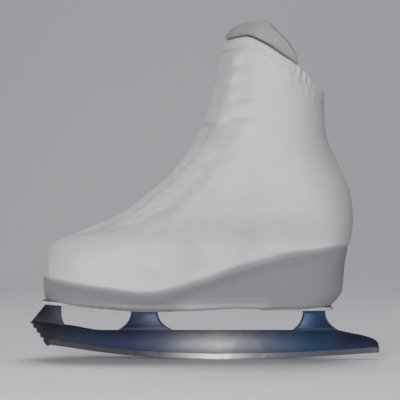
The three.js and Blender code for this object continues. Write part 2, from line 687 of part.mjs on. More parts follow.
// An eyelet: flange on the leather's face and a barrel through it, axis along z, z 0 at the face.
function eyelet() {
  const barrel = EYELET_BORE + EYELET_WALL;
  const end = -LEATHER - 0.5;
  return turning([
    [EYELET_BORE, EYELET_RIM], [EYELET_BORE, end], [barrel, end], [barrel, CLEARANCE],
    [EYELET_FLANGE, CLEARANCE], [EYELET_FLANGE - EYELET_WALL, EYELET_RIM], [EYELET_BORE, EYELET_RIM],
  ], 8);
}
const holeRadius = EYELET_BORE + EYELET_WALL + 0.5;
const holeCut = solidOf(new THREE.CylinderGeometry(holeRadius, holeRadius, 9, 8).rotateX(Math.PI / 2));
const sideName = (side) => (side < 0 ? "outer" : "inner");
const onFacing = (height, side) => facingPlace(height, facingRow, bandOuter, side);
const eyeletPlaces = eyeletHeights.flatMap((height, k) =>
  [-1, 1].map((side) => ({ name: `eyelet_${sideName(side)}_${k + 1}`, place: onFacing(height, side) })));
const holes = wasm.Manifold.union(eyeletPlaces.map(({ place }) => turned(holeCut, place)));

const quarters = upper.subtract(vampSide(CLEARANCE)).subtract(throat).subtract(holes);
const BACKSTAY_HALF = 9;
const backRegion = box(atX(205), heelEnd, -BACKSTAY_HALF, BACKSTAY_HALF, 0, 400);
const backRegionGrown = box(atX(205), heelEnd, -BACKSTAY_HALF - CLEARANCE, BACKSTAY_HALF + CLEARANCE, 0, 400);
add("backstay", quarters.intersect(backRegion), "leather");
// everything on one side of the blade's plane
const sideOf = (side) => {
  const [from, to] = side < 0 ? [-100, -CLEARANCE / 2] : [CLEARANCE / 2, 100];
  return box(-300, 300, from, to, -50, 500);
};
for (const [name, side] of [["quarter_outer", -1], ["quarter_inner", 1]])
  add(name, quarters.subtract(backRegionGrown).intersect(sideOf(side)), "leather");

const stiff = forms.stiffOuter.subtract(forms.stiffInner).intersect(aboveBoard);
add("toe_puff", stiff.intersect(prism(nominal([[-10, -30], [38, -30], [38, 120], [-10, 120]]))), "board");
const COUNTER = [[176, 0], [268, 0], [268, 110], [232, 110], [205, 88], [176, 74]];
add("heel_counter", stiff.intersect(prism(nominal(COUNTER))), "board");

// the lining stops where the tongue and the laces lie
const tongueRegion = prism(nominal(TONGUE_TOP));
const liningFront = frontRegion.intersect(wide(facingRow + EYELET_FLANGE + 3));
const liningShell = forms.liningOuter.subtract(forms.liningInner)
  .intersect(aboveBoard).intersect(belowCollar(TOP_HEM * 0.3)).subtract(liningFront);
const LINING_SEAM = -46; // the vamp's lining meets the quarters' under the vamp
add("lining_vamp", liningShell.intersect(vampSide(LINING_SEAM)), "lining");
for (const [name, side] of [["lining_outer", -1], ["lining_inner", 1]])
  add(name, liningShell.subtract(vampSide(LINING_SEAM + CLEARANCE)).intersect(sideOf(side)), "lining");
add("collar_pad",
  bootForm(liningInner + CLEARANCE).subtract(bootForm(liningInner + CLEARANCE + COLLAR_PAD))
    .intersect(belowCollar(1)).subtract(belowCollar(30))
    .intersect(box(atX(216), heelEnd, -100, 100, 0, 400)),
  "padding");

// the tongue lies inside the facings and stands out to the cover's surface above the collar
const TONGUE_FREE = 2.2; // depth of the tongue's face above the collar
const tongueRise = (point, below) => {
  const start = 1 + 13 * smoothstep(28, 44, point.x);
  return below - (below - TONGUE_FREE) * smoothstep(start, start + 9, point.z - collarZ(point.x));
};
const tongueForm = bootForm((point, room) => tongueRise(point, tongueOuter + room));
// behind the tongue the laces' room ends above the collar
const behindTongue = (depth) =>
  bootForm((point, room) => depth + room * (1 - smoothstep(-2, 14, point.z - collarZ(point.x))));
const tongueBack = behindTongue(tongueInner);
const padOuter = behindTongue(tongueInner + CLEARANCE);
const padBack = behindTongue(padInner);
add("tongue", tongueForm.subtract(tongueBack).intersect(tongueRegion), "leather");
const padRegion = prism(nominal(TONGUE_PAD_OUTLINE));
add("tongue_pad", padOuter.subtract(padBack).intersect(padRegion), "padding");

// ---------------------------------------------------------------- eyelets, hooks and lace
for (const { name, place } of eyeletPlaces) add(name, turned(eyelet(), place), "steel");

// A lace hook: a C of sheet steel whose mouth opens away from the facing's edge; z 0 at the leather's face.
const HOOK_HALF = 1.6;
const HOOK_SHEET = 0.5;
const HOOK_FOOT = 0.45; // clear of the leather's face
const HOOK_TALL = bandOuter - COVER - 0.9; // from the leather to just under the cover
function hook(side) {
  const reachOut = [-1.6, 4.6];
  const outline = [
    [reachOut[0], HOOK_FOOT], [reachOut[1], HOOK_FOOT], [reachOut[1], HOOK_FOOT + HOOK_SHEET],
    [reachOut[0] + HOOK_SHEET, HOOK_FOOT + HOOK_SHEET],
    [reachOut[0] + HOOK_SHEET, HOOK_TALL - HOOK_SHEET], [reachOut[1] - 1.4, HOOK_TALL - HOOK_SHEET],
    [reachOut[1] - 1.4, HOOK_TALL], [reachOut[0], HOOK_TALL],
  ];
  const shape = new THREE.Shape(outline.map(([across, out]) => new THREE.Vector2(across * side, out)));
  const bent = new THREE.ExtrudeGeometry(shape, { depth: 2 * HOOK_HALF, bevelEnabled: false });
  return solidOf(bent.rotateX(Math.PI / 2).translate(0, HOOK_HALF, 0));
}
hookHeights.forEach((height, k) =>
  [-1, 1].forEach((side) =>
    add(`hook_${sideName(side)}_${k + 1}`, turned(hook(side), onFacing(height, side)), "steel")));

// The lace: one cord, a straight bar behind the lowest eyelets, then criss-cross to the knot.
const over = bandOuter - EYELET_RIM - LACE_RADIUS - 0.3; // centre of the lace on the facing
const inHook = bandOuter - (HOOK_FOOT + HOOK_TALL) / 2; // centre of the lace in a hook's mouth
const under = bandInner + EYELET_RIM + LACE_RADIUS; // centre of the lace behind the facing
const CROSSING = LACE_RADIUS + CLEARANCE; // how far each cord passes from the middle layer at a crossing
const heights = [...eyeletHeights, ...hookHeights];
const KNOT_HEIGHT = LAST_HOOK + 8;
const KNOT_HALF = 5.4;
const KNOT_TALL = 4.2;
const KNOT_DEEP = 2.4;
// A point of the lace, straight across the facings from `height` on the eyelet row.
function lacePlace(height, sideways, depth, side) {
  const row = facingPlace(height, facingRow, 0).at;
  const upward = facingPlace(height + 3, facingRow, 0).at.sub(row).setY(0);
  let low = height - 12;
  let high = height + 20;
  for (let k = 0; k < 24; k++) {
    const middle = (low + high) / 2;
    if (facingPlace(middle, Math.abs(sideways), 0).at.sub(row).dot(upward) < 0) low = middle;
    else high = middle;
  }
  return facingPlace(low, Math.abs(sideways), depth, side).at;
}
function laceEnd(start, high) {
  const points = [];
  const put = (...place) => points.push(lacePlace(...place));
  heights.forEach((height, k) => {
    const side = start * (k % 2 ? -1 : 1);
    const hooked = k >= EYELET_PAIRS;
    if (k > 0) {
      const before = heights[k - 1];
      const rise = height - before;
      put(before + rise * 0.3, FACING_GAP - 3, over + 0.6, -side);
      const crossing = hooked ? over + 1.6 : (over + under) / 2;
      put(before + rise * 0.5, 0, crossing + (high ? -CROSSING : CROSSING), side);
      if (!hooked) put(height - rise * 0.12, FACING_GAP - 3, under, side);
      else put(height - rise * 0.3, FACING_GAP - 3, over + 0.6, side);
    }
    if (hooked) {
      put(height - 4.2, facingRow - 2.4, inHook, side);
      put(height - 2.4, facingRow + 0.6, inHook, side);
      put(height, facingRow + 1.4, inHook, side);
      put(height + 2.4, facingRow + 0.6, inHook, side);
      put(height + 4.2, facingRow - 2.4, inHook, side);
    } else {
      put(height, facingRow - 3.2, under, side);
      put(height, facingRow - 0.6, under - 0.4, side);
      put(height, facingRow, bandInner, side);
      put(height, facingRow, bandOuter - EYELET_RIM / 2, side);
      put(height, facingRow - 0.6, over + 0.4, side);
      put(height, facingRow - 3.2, over, side);
    }
  });
  put(KNOT_HEIGHT, KNOT_HALF + LACE_RADIUS, over + 1.2, start * (heights.length % 2 ? 1 : -1));
  return points;
}
const lacePoints = [
  ...laceEnd(-1, true).reverse(),
  lacePlace(FIRST_EYELET, 6, under, -1),
  lacePlace(FIRST_EYELET, 6, under, 1),
  ...laceEnd(1, false),
];
add("lace", cord(lacePoints, LACE_RADIUS, 5), "lace");
const knotAt = {
  at: lacePlace(KNOT_HEIGHT, 0, over + 1.2, 1),
  normal: facingPlace(KNOT_HEIGHT, 0, 0).normal,
};
const knot = solidOf(new THREE.SphereGeometry(1, 10, 8).scale(KNOT_HALF, KNOT_TALL, KNOT_DEEP));
add("lace_knot", turned(knot, knotAt), "lace");

// ---------------------------------------------------------------- the fabric cover
const hemPath = ({ from, to, halves }) => {
  const outline = plateOutline(from, to, halves, HEM_RADIUS + CLEARANCE + 0.2);
  return outline
    .filter((p, i) => i === 0 || Math.hypot(p[0] - outline[i - 1][0], p[1] - outline[i - 1][1]) > 1.5)
    .filter((p, i, all) => i < all.length - 1 || Math.hypot(p[0] - all[0][0], p[1] - all[0][1]) > 1.5)
    .map(([x, y]) => new THREE.Vector3(x, y, coverBottom(x) + COVER / 2 - 0.6));
};
const sleeve = bootForm(0, "rounded").subtract(bootForm(COVER, "rounded"));
const openings = ["sole", "heel"].map((plate) => {
  const { from, to, halves } = plates[plate];
  return planPrism(plateOutline(from, to, halves, HEM_RADIUS + CLEARANCE), 0, 60);
});
const hemCuts = ["sole", "heel"].map((plate) => ring(hemPath(plates[plate]), HEM_RADIUS + CLEARANCE, 6));
const cover = sleeve.intersect(belowCollar(TOP_HEM + CLEARANCE)).subtract(openings[0]).subtract(openings[1])
  .subtract(hemCuts[0]).subtract(hemCuts[1]);
add("cover_outer_panel", cover.intersect(sideOf(-1)), "fabric");
add("cover_inner_panel", cover.intersect(sideOf(1)), "fabric");
const HEM_PROUD = 0.4; // how far the casing stands out
const hemOuter = bootForm(-HEM_PROUD, "rounded");
const collarBand = belowCollar(0).subtract(belowCollar(TOP_HEM));
add("cover_top_hem", hemOuter.subtract(bootForm(COVER, "rounded")).intersect(collarBand), "hem");
add("cover_sole_hem", ring(hemPath(plates.sole), HEM_RADIUS), "hem");
add("cover_heel_hem", ring(hemPath(plates.heel), HEM_RADIUS), "hem");

export default skate;
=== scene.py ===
"""A left figure skate in a stretch-fabric boot cover: its visible surfaces, finishes, light and camera.

Shapes are worked out in millimetres in the part's own frame (+X towards the heel, -Y the outer
side of the foot, +Z up from the ice) and put into the meshes in metres.
"""
import logging
from dataclasses import dataclass, field, replace
from enum import Enum

import bmesh
import bpy
import numpy as np
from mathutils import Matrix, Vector
from mathutils.bvhtree import BVHTree
from numpy.typing import NDArray


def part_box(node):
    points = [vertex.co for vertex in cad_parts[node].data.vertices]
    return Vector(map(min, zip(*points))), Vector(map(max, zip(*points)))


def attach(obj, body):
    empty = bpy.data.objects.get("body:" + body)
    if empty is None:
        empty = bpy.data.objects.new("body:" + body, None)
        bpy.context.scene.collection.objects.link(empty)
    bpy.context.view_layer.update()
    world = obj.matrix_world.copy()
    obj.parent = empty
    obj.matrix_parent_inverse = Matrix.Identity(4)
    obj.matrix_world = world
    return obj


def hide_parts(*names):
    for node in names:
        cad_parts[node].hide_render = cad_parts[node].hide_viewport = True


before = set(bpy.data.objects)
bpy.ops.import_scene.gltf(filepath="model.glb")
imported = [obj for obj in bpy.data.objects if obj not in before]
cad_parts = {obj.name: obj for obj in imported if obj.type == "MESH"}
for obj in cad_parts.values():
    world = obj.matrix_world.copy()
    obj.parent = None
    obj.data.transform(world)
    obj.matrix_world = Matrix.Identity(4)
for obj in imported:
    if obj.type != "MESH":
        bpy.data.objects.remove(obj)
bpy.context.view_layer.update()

Array = NDArray[np.float64]
Span = tuple[float, float]
Triple = tuple[float, float, float]
Colour = Triple
Stops = tuple[tuple[float, Colour], ...]
Socket = bpy.types.NodeSocket
Material = bpy.types.Material
Piece = bpy.types.Object

LOG = logging.getLogger("skate")
MM = 0.001  # metres in a millimetre
BOOT_LENGTH = 258.0  # from toe to heel over the cover
FORM_TOP = 236.7  # height of the form's highest section, over its underside
WAVE_COUNT = 14  # sines added up for irregular waves


class Side(Enum):
    """The two sides of the foot, as the sign of Y."""

    OUTER = -1
    INNER = 1


# ------------------------------------------------------------------ numbers and curves
@dataclass(frozen=True)
class Curve:
    """A smooth curve through points that never overshoots them, constant beyond its ends."""

    points: tuple[Span, ...]

    def __call__(self, key: Array | float) -> Array:
        """Height of the curve: a cubic between each two points, its tangents harmonic means of the slopes.

        Args:
            key: Where on the curve, any shape.

        Returns:
            The value at each key.
        """
        keys, values = np.array(self.points, float).T
        slope = np.diff(values) / np.diff(keys)
        left, right = slope[:-1], slope[1:]
        same = left * right > 0
        total = np.where(same, left + right, 1.0)
        tangent = np.concatenate([slope[:1], np.where(same, 2 * left * right / total, 0.0), slope[-1:]])
        key = np.clip(np.asarray(key, float), keys[0], keys[-1])
        cell = np.clip(np.searchsorted(keys, key, side="right") - 1, 0, len(keys) - 2)
        span = keys[cell + 1] - keys[cell]
        t = (key - keys[cell]) / span
        return (
            values[cell] * (1 + 2 * t) * (1 - t) ** 2
            + tangent[cell] * span * t * (1 - t) ** 2
            + values[cell + 1] * t * t * (3 - 2 * t)
            + tangent[cell + 1] * span * t * t * (t - 1)
        )


def smoothstep(low: float | Array, high: float | Array, value: Array | float) -> Array:
    """0 below low, 1 above high, and 3t^2 - 2t^3 between."""
    t = np.clip((np.asarray(value, float) - low) / (np.asarray(high, float) - low), 0, 1)
    return t * t * (3 - 2 * t)


def bell(value: Array | float, centre: Array | float, width: float) -> Array:
    """A bell of height 1: exp(-((value - centre) / width)^2 / 2)."""
    return np.exp(-0.5 * ((np.asarray(value, float) - centre) / width) ** 2)


def unit(vectors: Array) -> Array:
    """The vectors at length 1."""
    return vectors / np.maximum(np.linalg.norm(vectors, axis=-1, keepdims=True), 1e-12)


def travelled(path: Array) -> Array:
    """Distance run along a path up to each of its points, from 0."""
    return np.concatenate([[0], np.cumsum(np.linalg.norm(np.diff(path, axis=0), axis=1))])


def smoothed(values: Array, rounds: int) -> Array:
    """Values on a grid, each replaced by its four neighbours' mean, over and over.

    Args:
        values: Rows by columns; a value on the border counts as its own outer neighbour.
        rounds: How often.

    Returns:
        The smoothed values.
    """
    for _ in range(rounds):
        padded = np.pad(values, 1, mode="edge")
        values = (padded[1:-1, :-2] + padded[1:-1, 2:] + padded[:-2, 1:-1] + padded[2:, 1:-1]) / 4
    return values


def waves(points: Array, wavelength: float, seed: int) -> Array:
    """Soft irregular waves, about -1 to 1: a sum of sines along random directions.

    Args:
        points: Places, in millimetres, with the coordinates last.
        wavelength: Middle of the range of wavelengths.
        seed: Which waves.

    Returns:
        The waves' height at each place.
    """
    draw = np.random.default_rng(seed)
    directions = unit(draw.normal(size=(WAVE_COUNT, points.shape[-1])))
    lengths = wavelength * draw.uniform(0.6, 1.7, WAVE_COUNT)
    phases = draw.uniform(0, 2 * np.pi, WAVE_COUNT)
    turns = points @ (directions / lengths[:, None]).T * 2 * np.pi + phases
    return np.sin(turns).sum(axis=-1) / np.sqrt(WAVE_COUNT / 2) / 2


# ------------------------------------------------------------------ meshes
def along_grid(points: Array) -> tuple[Array, Array]:
    """Distances travelled over a grid of points.

    Args:
        points: Rows by columns by 3.

    Returns:
        The distance along each row from its first column, and along each column from its first row.
    """
    across = np.linalg.norm(np.diff(points, axis=1), axis=-1)
    up = np.linalg.norm(np.diff(points, axis=0), axis=-1)
    along = np.concatenate([np.zeros((points.shape[0], 1)), np.cumsum(across, axis=1)], axis=1)
    rise = np.concatenate([np.zeros((1, points.shape[1])), np.cumsum(up, axis=0)], axis=0)
    return along, rise


def carry(mesh: bpy.types.Mesh, mark: str, values: Array) -> None:
    """Put a number for the material on each point of a mesh."""
    attribute = mesh.attributes.new(mark, "FLOAT", "POINT")
    attribute.data.foreach_set("value", np.ascontiguousarray(values))


def cleaned(mesh: bpy.types.Mesh, solid: bool) -> None:
    """Merge a mesh's doubled points and drop what has no area.

    Args:
        mesh: The mesh, changed in place.
        solid: The mesh is closed, so its faces are turned outwards.
    """
    work = bmesh.new()
    work.from_mesh(mesh)
    bmesh.ops.remove_doubles(work, verts=work.verts, dist=1e-6)
    bmesh.ops.dissolve_degenerate(work, edges=work.edges, dist=1e-7)
    bmesh.ops.delete(work, geom=[v for v in work.verts if not v.link_faces], context="VERTS")
    if solid:
        bmesh.ops.recalc_face_normals(work, faces=work.faces)
    work.to_mesh(mesh)
    work.free()


def skin(
    name: str,
    points: Array,
    ring_rows: bool = False,
    ring_columns: bool = False,
    capped: bool = False,
    flipped: bool = False,
    kept: NDArray[np.bool_] | None = None,
    solid: bool = False,
    crisp: float = 40.0,
    marks: dict[str, Array | float] | None = None,
) -> Piece:
    """A mesh over a grid of points: each face joins a point to the next row's and next column's.

    The UV map holds the distance along the row and up the column, in metres.

    Args:
        name: The piece's name.
        points: Rows by columns by 3, in millimetres.
        ring_rows: The last row joins the first.
        ring_columns: The last column joins the first.
        capped: The first and the last row are closed with a face each.
        flipped: Turn the faces over.
        kept: Which of the grid's faces are made, all if left out.
        solid: The mesh is closed, so its faces are turned outwards.
        crisp: Edges bent by more than this, in degrees, are shaded sharp.
        marks: Numbers for the material at each point of the grid, by name.

    Returns:
        The object, its place in its mesh.
    """
    rows, columns = points.shape[:2]
    wide = np.concatenate([points, points[:, :1]], axis=1) if ring_columns else points
    tall = np.concatenate([wide, wide[:1]], axis=0) if ring_rows else wide
    along, rise = along_grid(tall)
    j, i = np.meshgrid(np.arange(tall.shape[0] - 1), np.arange(tall.shape[1] - 1), indexing="ij")
    if kept is not None:
        j, i = j[kept], i[kept]
    j, i = j.ravel(), i.ravel()
    corners = [(j, i), (j, i + 1), (j + 1, i + 1), (j + 1, i)]
    if flipped:
        corners = corners[::-1]
    faces = np.stack([(a % rows) * columns + b % columns for a, b in corners], axis=1)
    cloth = np.stack([np.stack([along[a, b], rise[a, b]], axis=-1) for a, b in corners], axis=1) * MM
    listed = faces.tolist()
    if capped:
        listed.append(list(range(columns))[::-1])
        listed.append([(rows - 1) * columns + k for k in range(columns)])
    mesh = bpy.data.meshes.new(name)
    mesh.from_pydata((points.reshape(-1, 3) * MM).tolist(), [], listed)
    for mark, values in (marks or {}).items():
        carry(mesh, mark, np.broadcast_to(values, points.shape[:2]).ravel())
    flat = np.zeros((len(mesh.loops), 2))
    flat[: faces.size] = cloth.reshape(-1, 2)
    mesh.uv_layers.new(name="Cloth").uv.foreach_set("vector", flat.ravel())
    cleaned(mesh, solid)
    mesh.polygons.foreach_set("use_smooth", np.ones(len(mesh.polygons), bool))
    mesh.set_sharp_from_angle(angle=np.radians(crisp))
    piece = bpy.data.objects.new(name, mesh)
    bpy.context.scene.collection.objects.link(piece)
    return piece


def tube(name: str, points: Array, marks: dict[str, Array | float]) -> Piece:
    """A closed ring: a skin whose rows and columns both come round."""
    return skin(name, points, ring_rows=True, ring_columns=True, solid=True, crisp=80, marks=marks)


def place(piece: Piece, slot: str, finish: Material, *stands_for: str) -> Piece:
    """Ride a piece on the skate, give it its finish, and hide the nodes that it stands for.

    Args:
        piece: The piece.
        slot: Its material slot in the part's record; not used.
        finish: Its material.
        stands_for: The nodes that it replaces, if any.

    Returns:
        The same piece.
    """
    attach(piece, "root")
    piece.data.materials.clear()
    piece.data.materials.append(finish)
    if stands_for:
        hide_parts(*stands_for)
    LOG.info("%s: %d faces", piece.name, len(piece.data.polygons))
    return piece


# ------------------------------------------------------------------ the boot's shape
@dataclass(frozen=True)
class BootForm:
    """The boot's outer surface over the cover, as level sections, and the layers under it.

    Distances behind the toe and heights above the underside are in millimetres.
    """

    toe_x: float = -134.55
    sole_z: float = 42.5
    y_shift: float = 0.0
    ball_half: float = 46.0
    waist_half: float = 38.0
    heel_half: float = 33.5
    ankle_half: float = 36.8
    collar_half: float = 41.5
    foot_to_leg: Span = (52.0, 95.0)
    front_squareness: float = 0.4
    back_squareness: float = 0.3
    sole_tuck: float = 0.13
    tuck_height: float = 13.0
    toe_swing: float = 5.0
    swing_from: float = 74.0
    edge_round: float = 5.0
    bend_height: float = 34.0
    upright: Span = (196.0, 222.0)
    lace_room: float = 4.6
    lace_room_half: Span = (29.0, 38.0)
    lace_room_height: Span = (58.0, 72.0)
    collar_rounds: int = 12
    front: Curve = Curve((
        (0, 2.6), (6, 1.1), (16, 0.3), (30, 0), (42, 1), (50, 4.3), (55.5, 10.5), (61, 21.5),
        (70, 45), (80, 66.5), (95, 86.5), (115, 109), (135, 124), (155, 133.3), (185, 143),
        (220, 150.6), (227, 152.8), (232, 156.3), (235.4, 161), (FORM_TOP, 167),
    ))
    back: Curve = Curve((
        (0, 238), (5, 242.6), (10, 246.6), (15, 249), (25, 249.9), (35, 250.8), (45, 252.5),
        (65, 257), (75, BOOT_LENGTH), (95, 255.7), (115, 248.2), (135, 239), (147, 235.4),
        (160, 234.1), (FORM_TOP, 233),
    ))
    underside: Curve = Curve((
        (0, 5.6), (47, 2.4), (89, -0.3), (114, -0.3), (164, 1.5), (195, 0.4), (BOOT_LENGTH, 0.3),
    ))
    feather: Curve = Curve((
        (0, 26), (45, 19), (89, 15), (130, 24), (172, 38), (215, 48), (BOOT_LENGTH, 53),
    ))
    front_round: Curve = Curve((
        (0, 60), (42, 62), (52, 80), (62, 105), (70, 105), (80, 86), (95, 67), (115, 55), (135, 50),
        (155, 45), (FORM_TOP, 43),
    ))
    back_round: Curve = Curve(((0, 30), (60, 34), (110, 40), (150, 46), (FORM_TOP, 44)))
    collar: Curve = Curve((
        (140, 219.5), (153, 222), (168, 223.6), (182, 217.8), (201, 206), (213, 198.6), (217, 195),
        (231.5, 181.6), (240, 177),
    ))

    def plan_half(self, behind: Array) -> Array:
        """Half width of the foot part, by the distance behind the toe."""
        return Curve((
            (0, self.ball_half - 5), (30, self.ball_half - 3), (74, self.ball_half),
            (145, self.waist_half), (200, self.heel_half), (BOOT_LENGTH, self.heel_half),
        ))(behind)

    def shaft_half(self, height: Array) -> Array:
        """Half width of the leg part, by height."""
        return Curve((
            (60, self.ankle_half + 2.5), (118, self.ankle_half), (150, self.ankle_half + 0.4),
            (190, self.collar_half - 2), (FORM_TOP, self.collar_half),
        ))(height)

    def tuck(self, height: Array, rounded: bool) -> Array:
        """How far the bottom edge's rounding draws in: r - sqrt(r^2 - (r - height)^2).

        Args:
            height: Above the underside.
            rounded: With the rounding; without it the tuck is 0.

        Returns:
            The distance drawn in at each height.
        """
        if not rounded:
            return np.zeros_like(np.asarray(height, float))
        left = np.clip(self.edge_round - np.asarray(height, float), 0, self.edge_round)
        return self.edge_round - np.sqrt(self.edge_round**2 - left**2)

    def ends(self, height: Array, rounded: bool = True) -> tuple[Array, Array]:
        """Distances behind the toe at which a level starts and ends."""
        tuck = self.tuck(height, rounded)
        return self.front(height) + tuck, self.back(height) - tuck

    def behind(self, height: Array, turn: Array, rounded: bool = True) -> Array:
        """Distance behind the toe at a height and a turn round the boot: a cosine from end to end."""
        start, end = self.ends(height, rounded)
        return start + (end - start) * (1 - np.cos(turn)) / 2

    def point(self, height: Array, turn: Array, rounded: bool = True) -> Array:
        """The outer surface's point at a height and a turn round the boot.

        The turn is 0 at the toe, pi at the heel, negative on the outer side. A level's half width is
        the foot's or the leg's, times a rounding (1 - (1 - d/r)^p)^(1/p) at distance d from each end.

        Args:
            height: Above the underside, broadcast with turn.
            turn: Angle round the boot.
            rounded: With the bottom edge rounded.

        Returns:
            The points, with the coordinates last.
        """
        height, turn = np.broadcast_arrays(np.asarray(height, float), np.asarray(turn, float))
        start, end = self.ends(height, rounded)
        u = self.behind(height, turn, rounded)
        footness = 1 - smoothstep(*self.foot_to_leg, height)
        width = self.plan_half(u) * footness + self.shaft_half(height) * (1 - footness)
        tucked = self.sole_tuck * smoothstep(0, self.tuck_height, self.feather(u) - height)
        half = np.maximum(0, width * (1 - tucked) - self.tuck(height, rounded))
        for inside, reach, power in (
            (u - start, self.front_round(height), 2 + self.front_squareness * footness),
            (end - u, self.back_round(height), 2 + self.back_squareness * footness),
        ):
            half = half * (1 - (1 - np.clip(inside / reach, 0, 1)) ** power) ** (1 / power)
        swing = self.toe_swing * np.clip((self.swing_from - u) / self.swing_from, 0, None) ** 2
        bend = self.underside(u) * (1 - smoothstep(0, self.bend_height, height))
        x = self.toe_x + u
        y = np.sign(np.sin(turn)) * half + swing + self.y_shift
        return np.stack([x, y, self.sole_z + height + bend], axis=-1)

    def normal(self, height: Array, turn: Array) -> Array:
        """Outward normal: the cross product of small steps up and round the surface.

        Args:
            height: Above the underside, broadcast with turn.
            turn: Angle round the boot.

        Returns:
            Unit vectors, level near the collar.
        """
        height, turn = np.broadcast_arrays(np.asarray(height, float), np.asarray(turn, float))
        rise, swing = 0.4, 0.02
        low, high = np.maximum(height - rise, 0.0), np.minimum(height + rise, FORM_TOP)
        up = self.point(high, turn) - self.point(low, turn)
        around = self.point(height, turn + swing) - self.point(height, turn - swing)
        normal = unit(np.cross(up, around))
        normal[..., 2] *= 1 - smoothstep(*self.upright, height)
        return unit(normal)

    def room(self, points: Array, height: Array, turn: Array) -> Array:
        """Depth that hooks and laces need between the cover and the leather."""
        near = 1 - smoothstep(*self.lace_room_half, np.abs(points[..., 1]))
        return self.lace_room * near * smoothstep(*self.lace_room_height, height) * (np.cos(turn) > 0)

    def at_depth(self, height: Array, turn: Array, depth: Array | float, laced: bool = True) -> Array:
        """Points a depth under the outer surface.

        Args:
            height: Above the underside, broadcast with turn.
            turn: Angle round the boot.
            depth: How far under the surface, along its normal.
            laced: With the laces' room added.

        Returns:
            The points, with the coordinates last.
        """
        height, turn = np.broadcast_arrays(np.asarray(height, float), np.asarray(turn, float))
        outer = self.point(height, turn)
        inset = np.asarray(depth, float) + (self.room(outer, height, turn) if laced else 0)
        return outer - self.normal(height, turn) * inset[..., None]

    def collar_height(self, turn: Array, drop: float | Array = 0.0) -> Array:
        """Height of the collar's edge at a turn, found by repeated substitution.

        Args:
            turn: Angle round the boot.
            drop: How far under the edge.

        Returns:
            The height at each turn.
        """
        height = np.full(np.shape(turn), 200.0)
        for _ in range(self.collar_rounds):
            height = self.collar(self.behind(height, turn)) - drop
        return height

    def front_levels(self, count: int, top: float) -> Array:
        """Heights spaced evenly along the front outline, whose flat stretches count less.

        Args:
            count: How many.
            top: The last height; the first is the top of the bottom edge's rounding.

        Returns:
            The heights, rising.
        """
        fine = np.linspace(self.edge_round, top, 2000)
        run = np.minimum(np.abs(np.gradient(self.front(fine), fine)), 6)
        way = np.concatenate([[0], np.cumsum(np.hypot(1, run)[1:] * np.diff(fine))])
        return np.interp(np.linspace(0, way[-1], count), way, fine)


def centred(form: BootForm) -> BootForm:
    """The form moved sideways so that its widest points are equally far from the blade's plane."""
    height, turn = np.meshgrid(np.linspace(0, FORM_TOP, 160), np.linspace(-np.pi, np.pi, 240), indexing="ij")
    y = form.point(height, turn, rounded=False)[..., 1]
    return replace(form, y_shift=float(-(y.max() + y.min()) / 2))


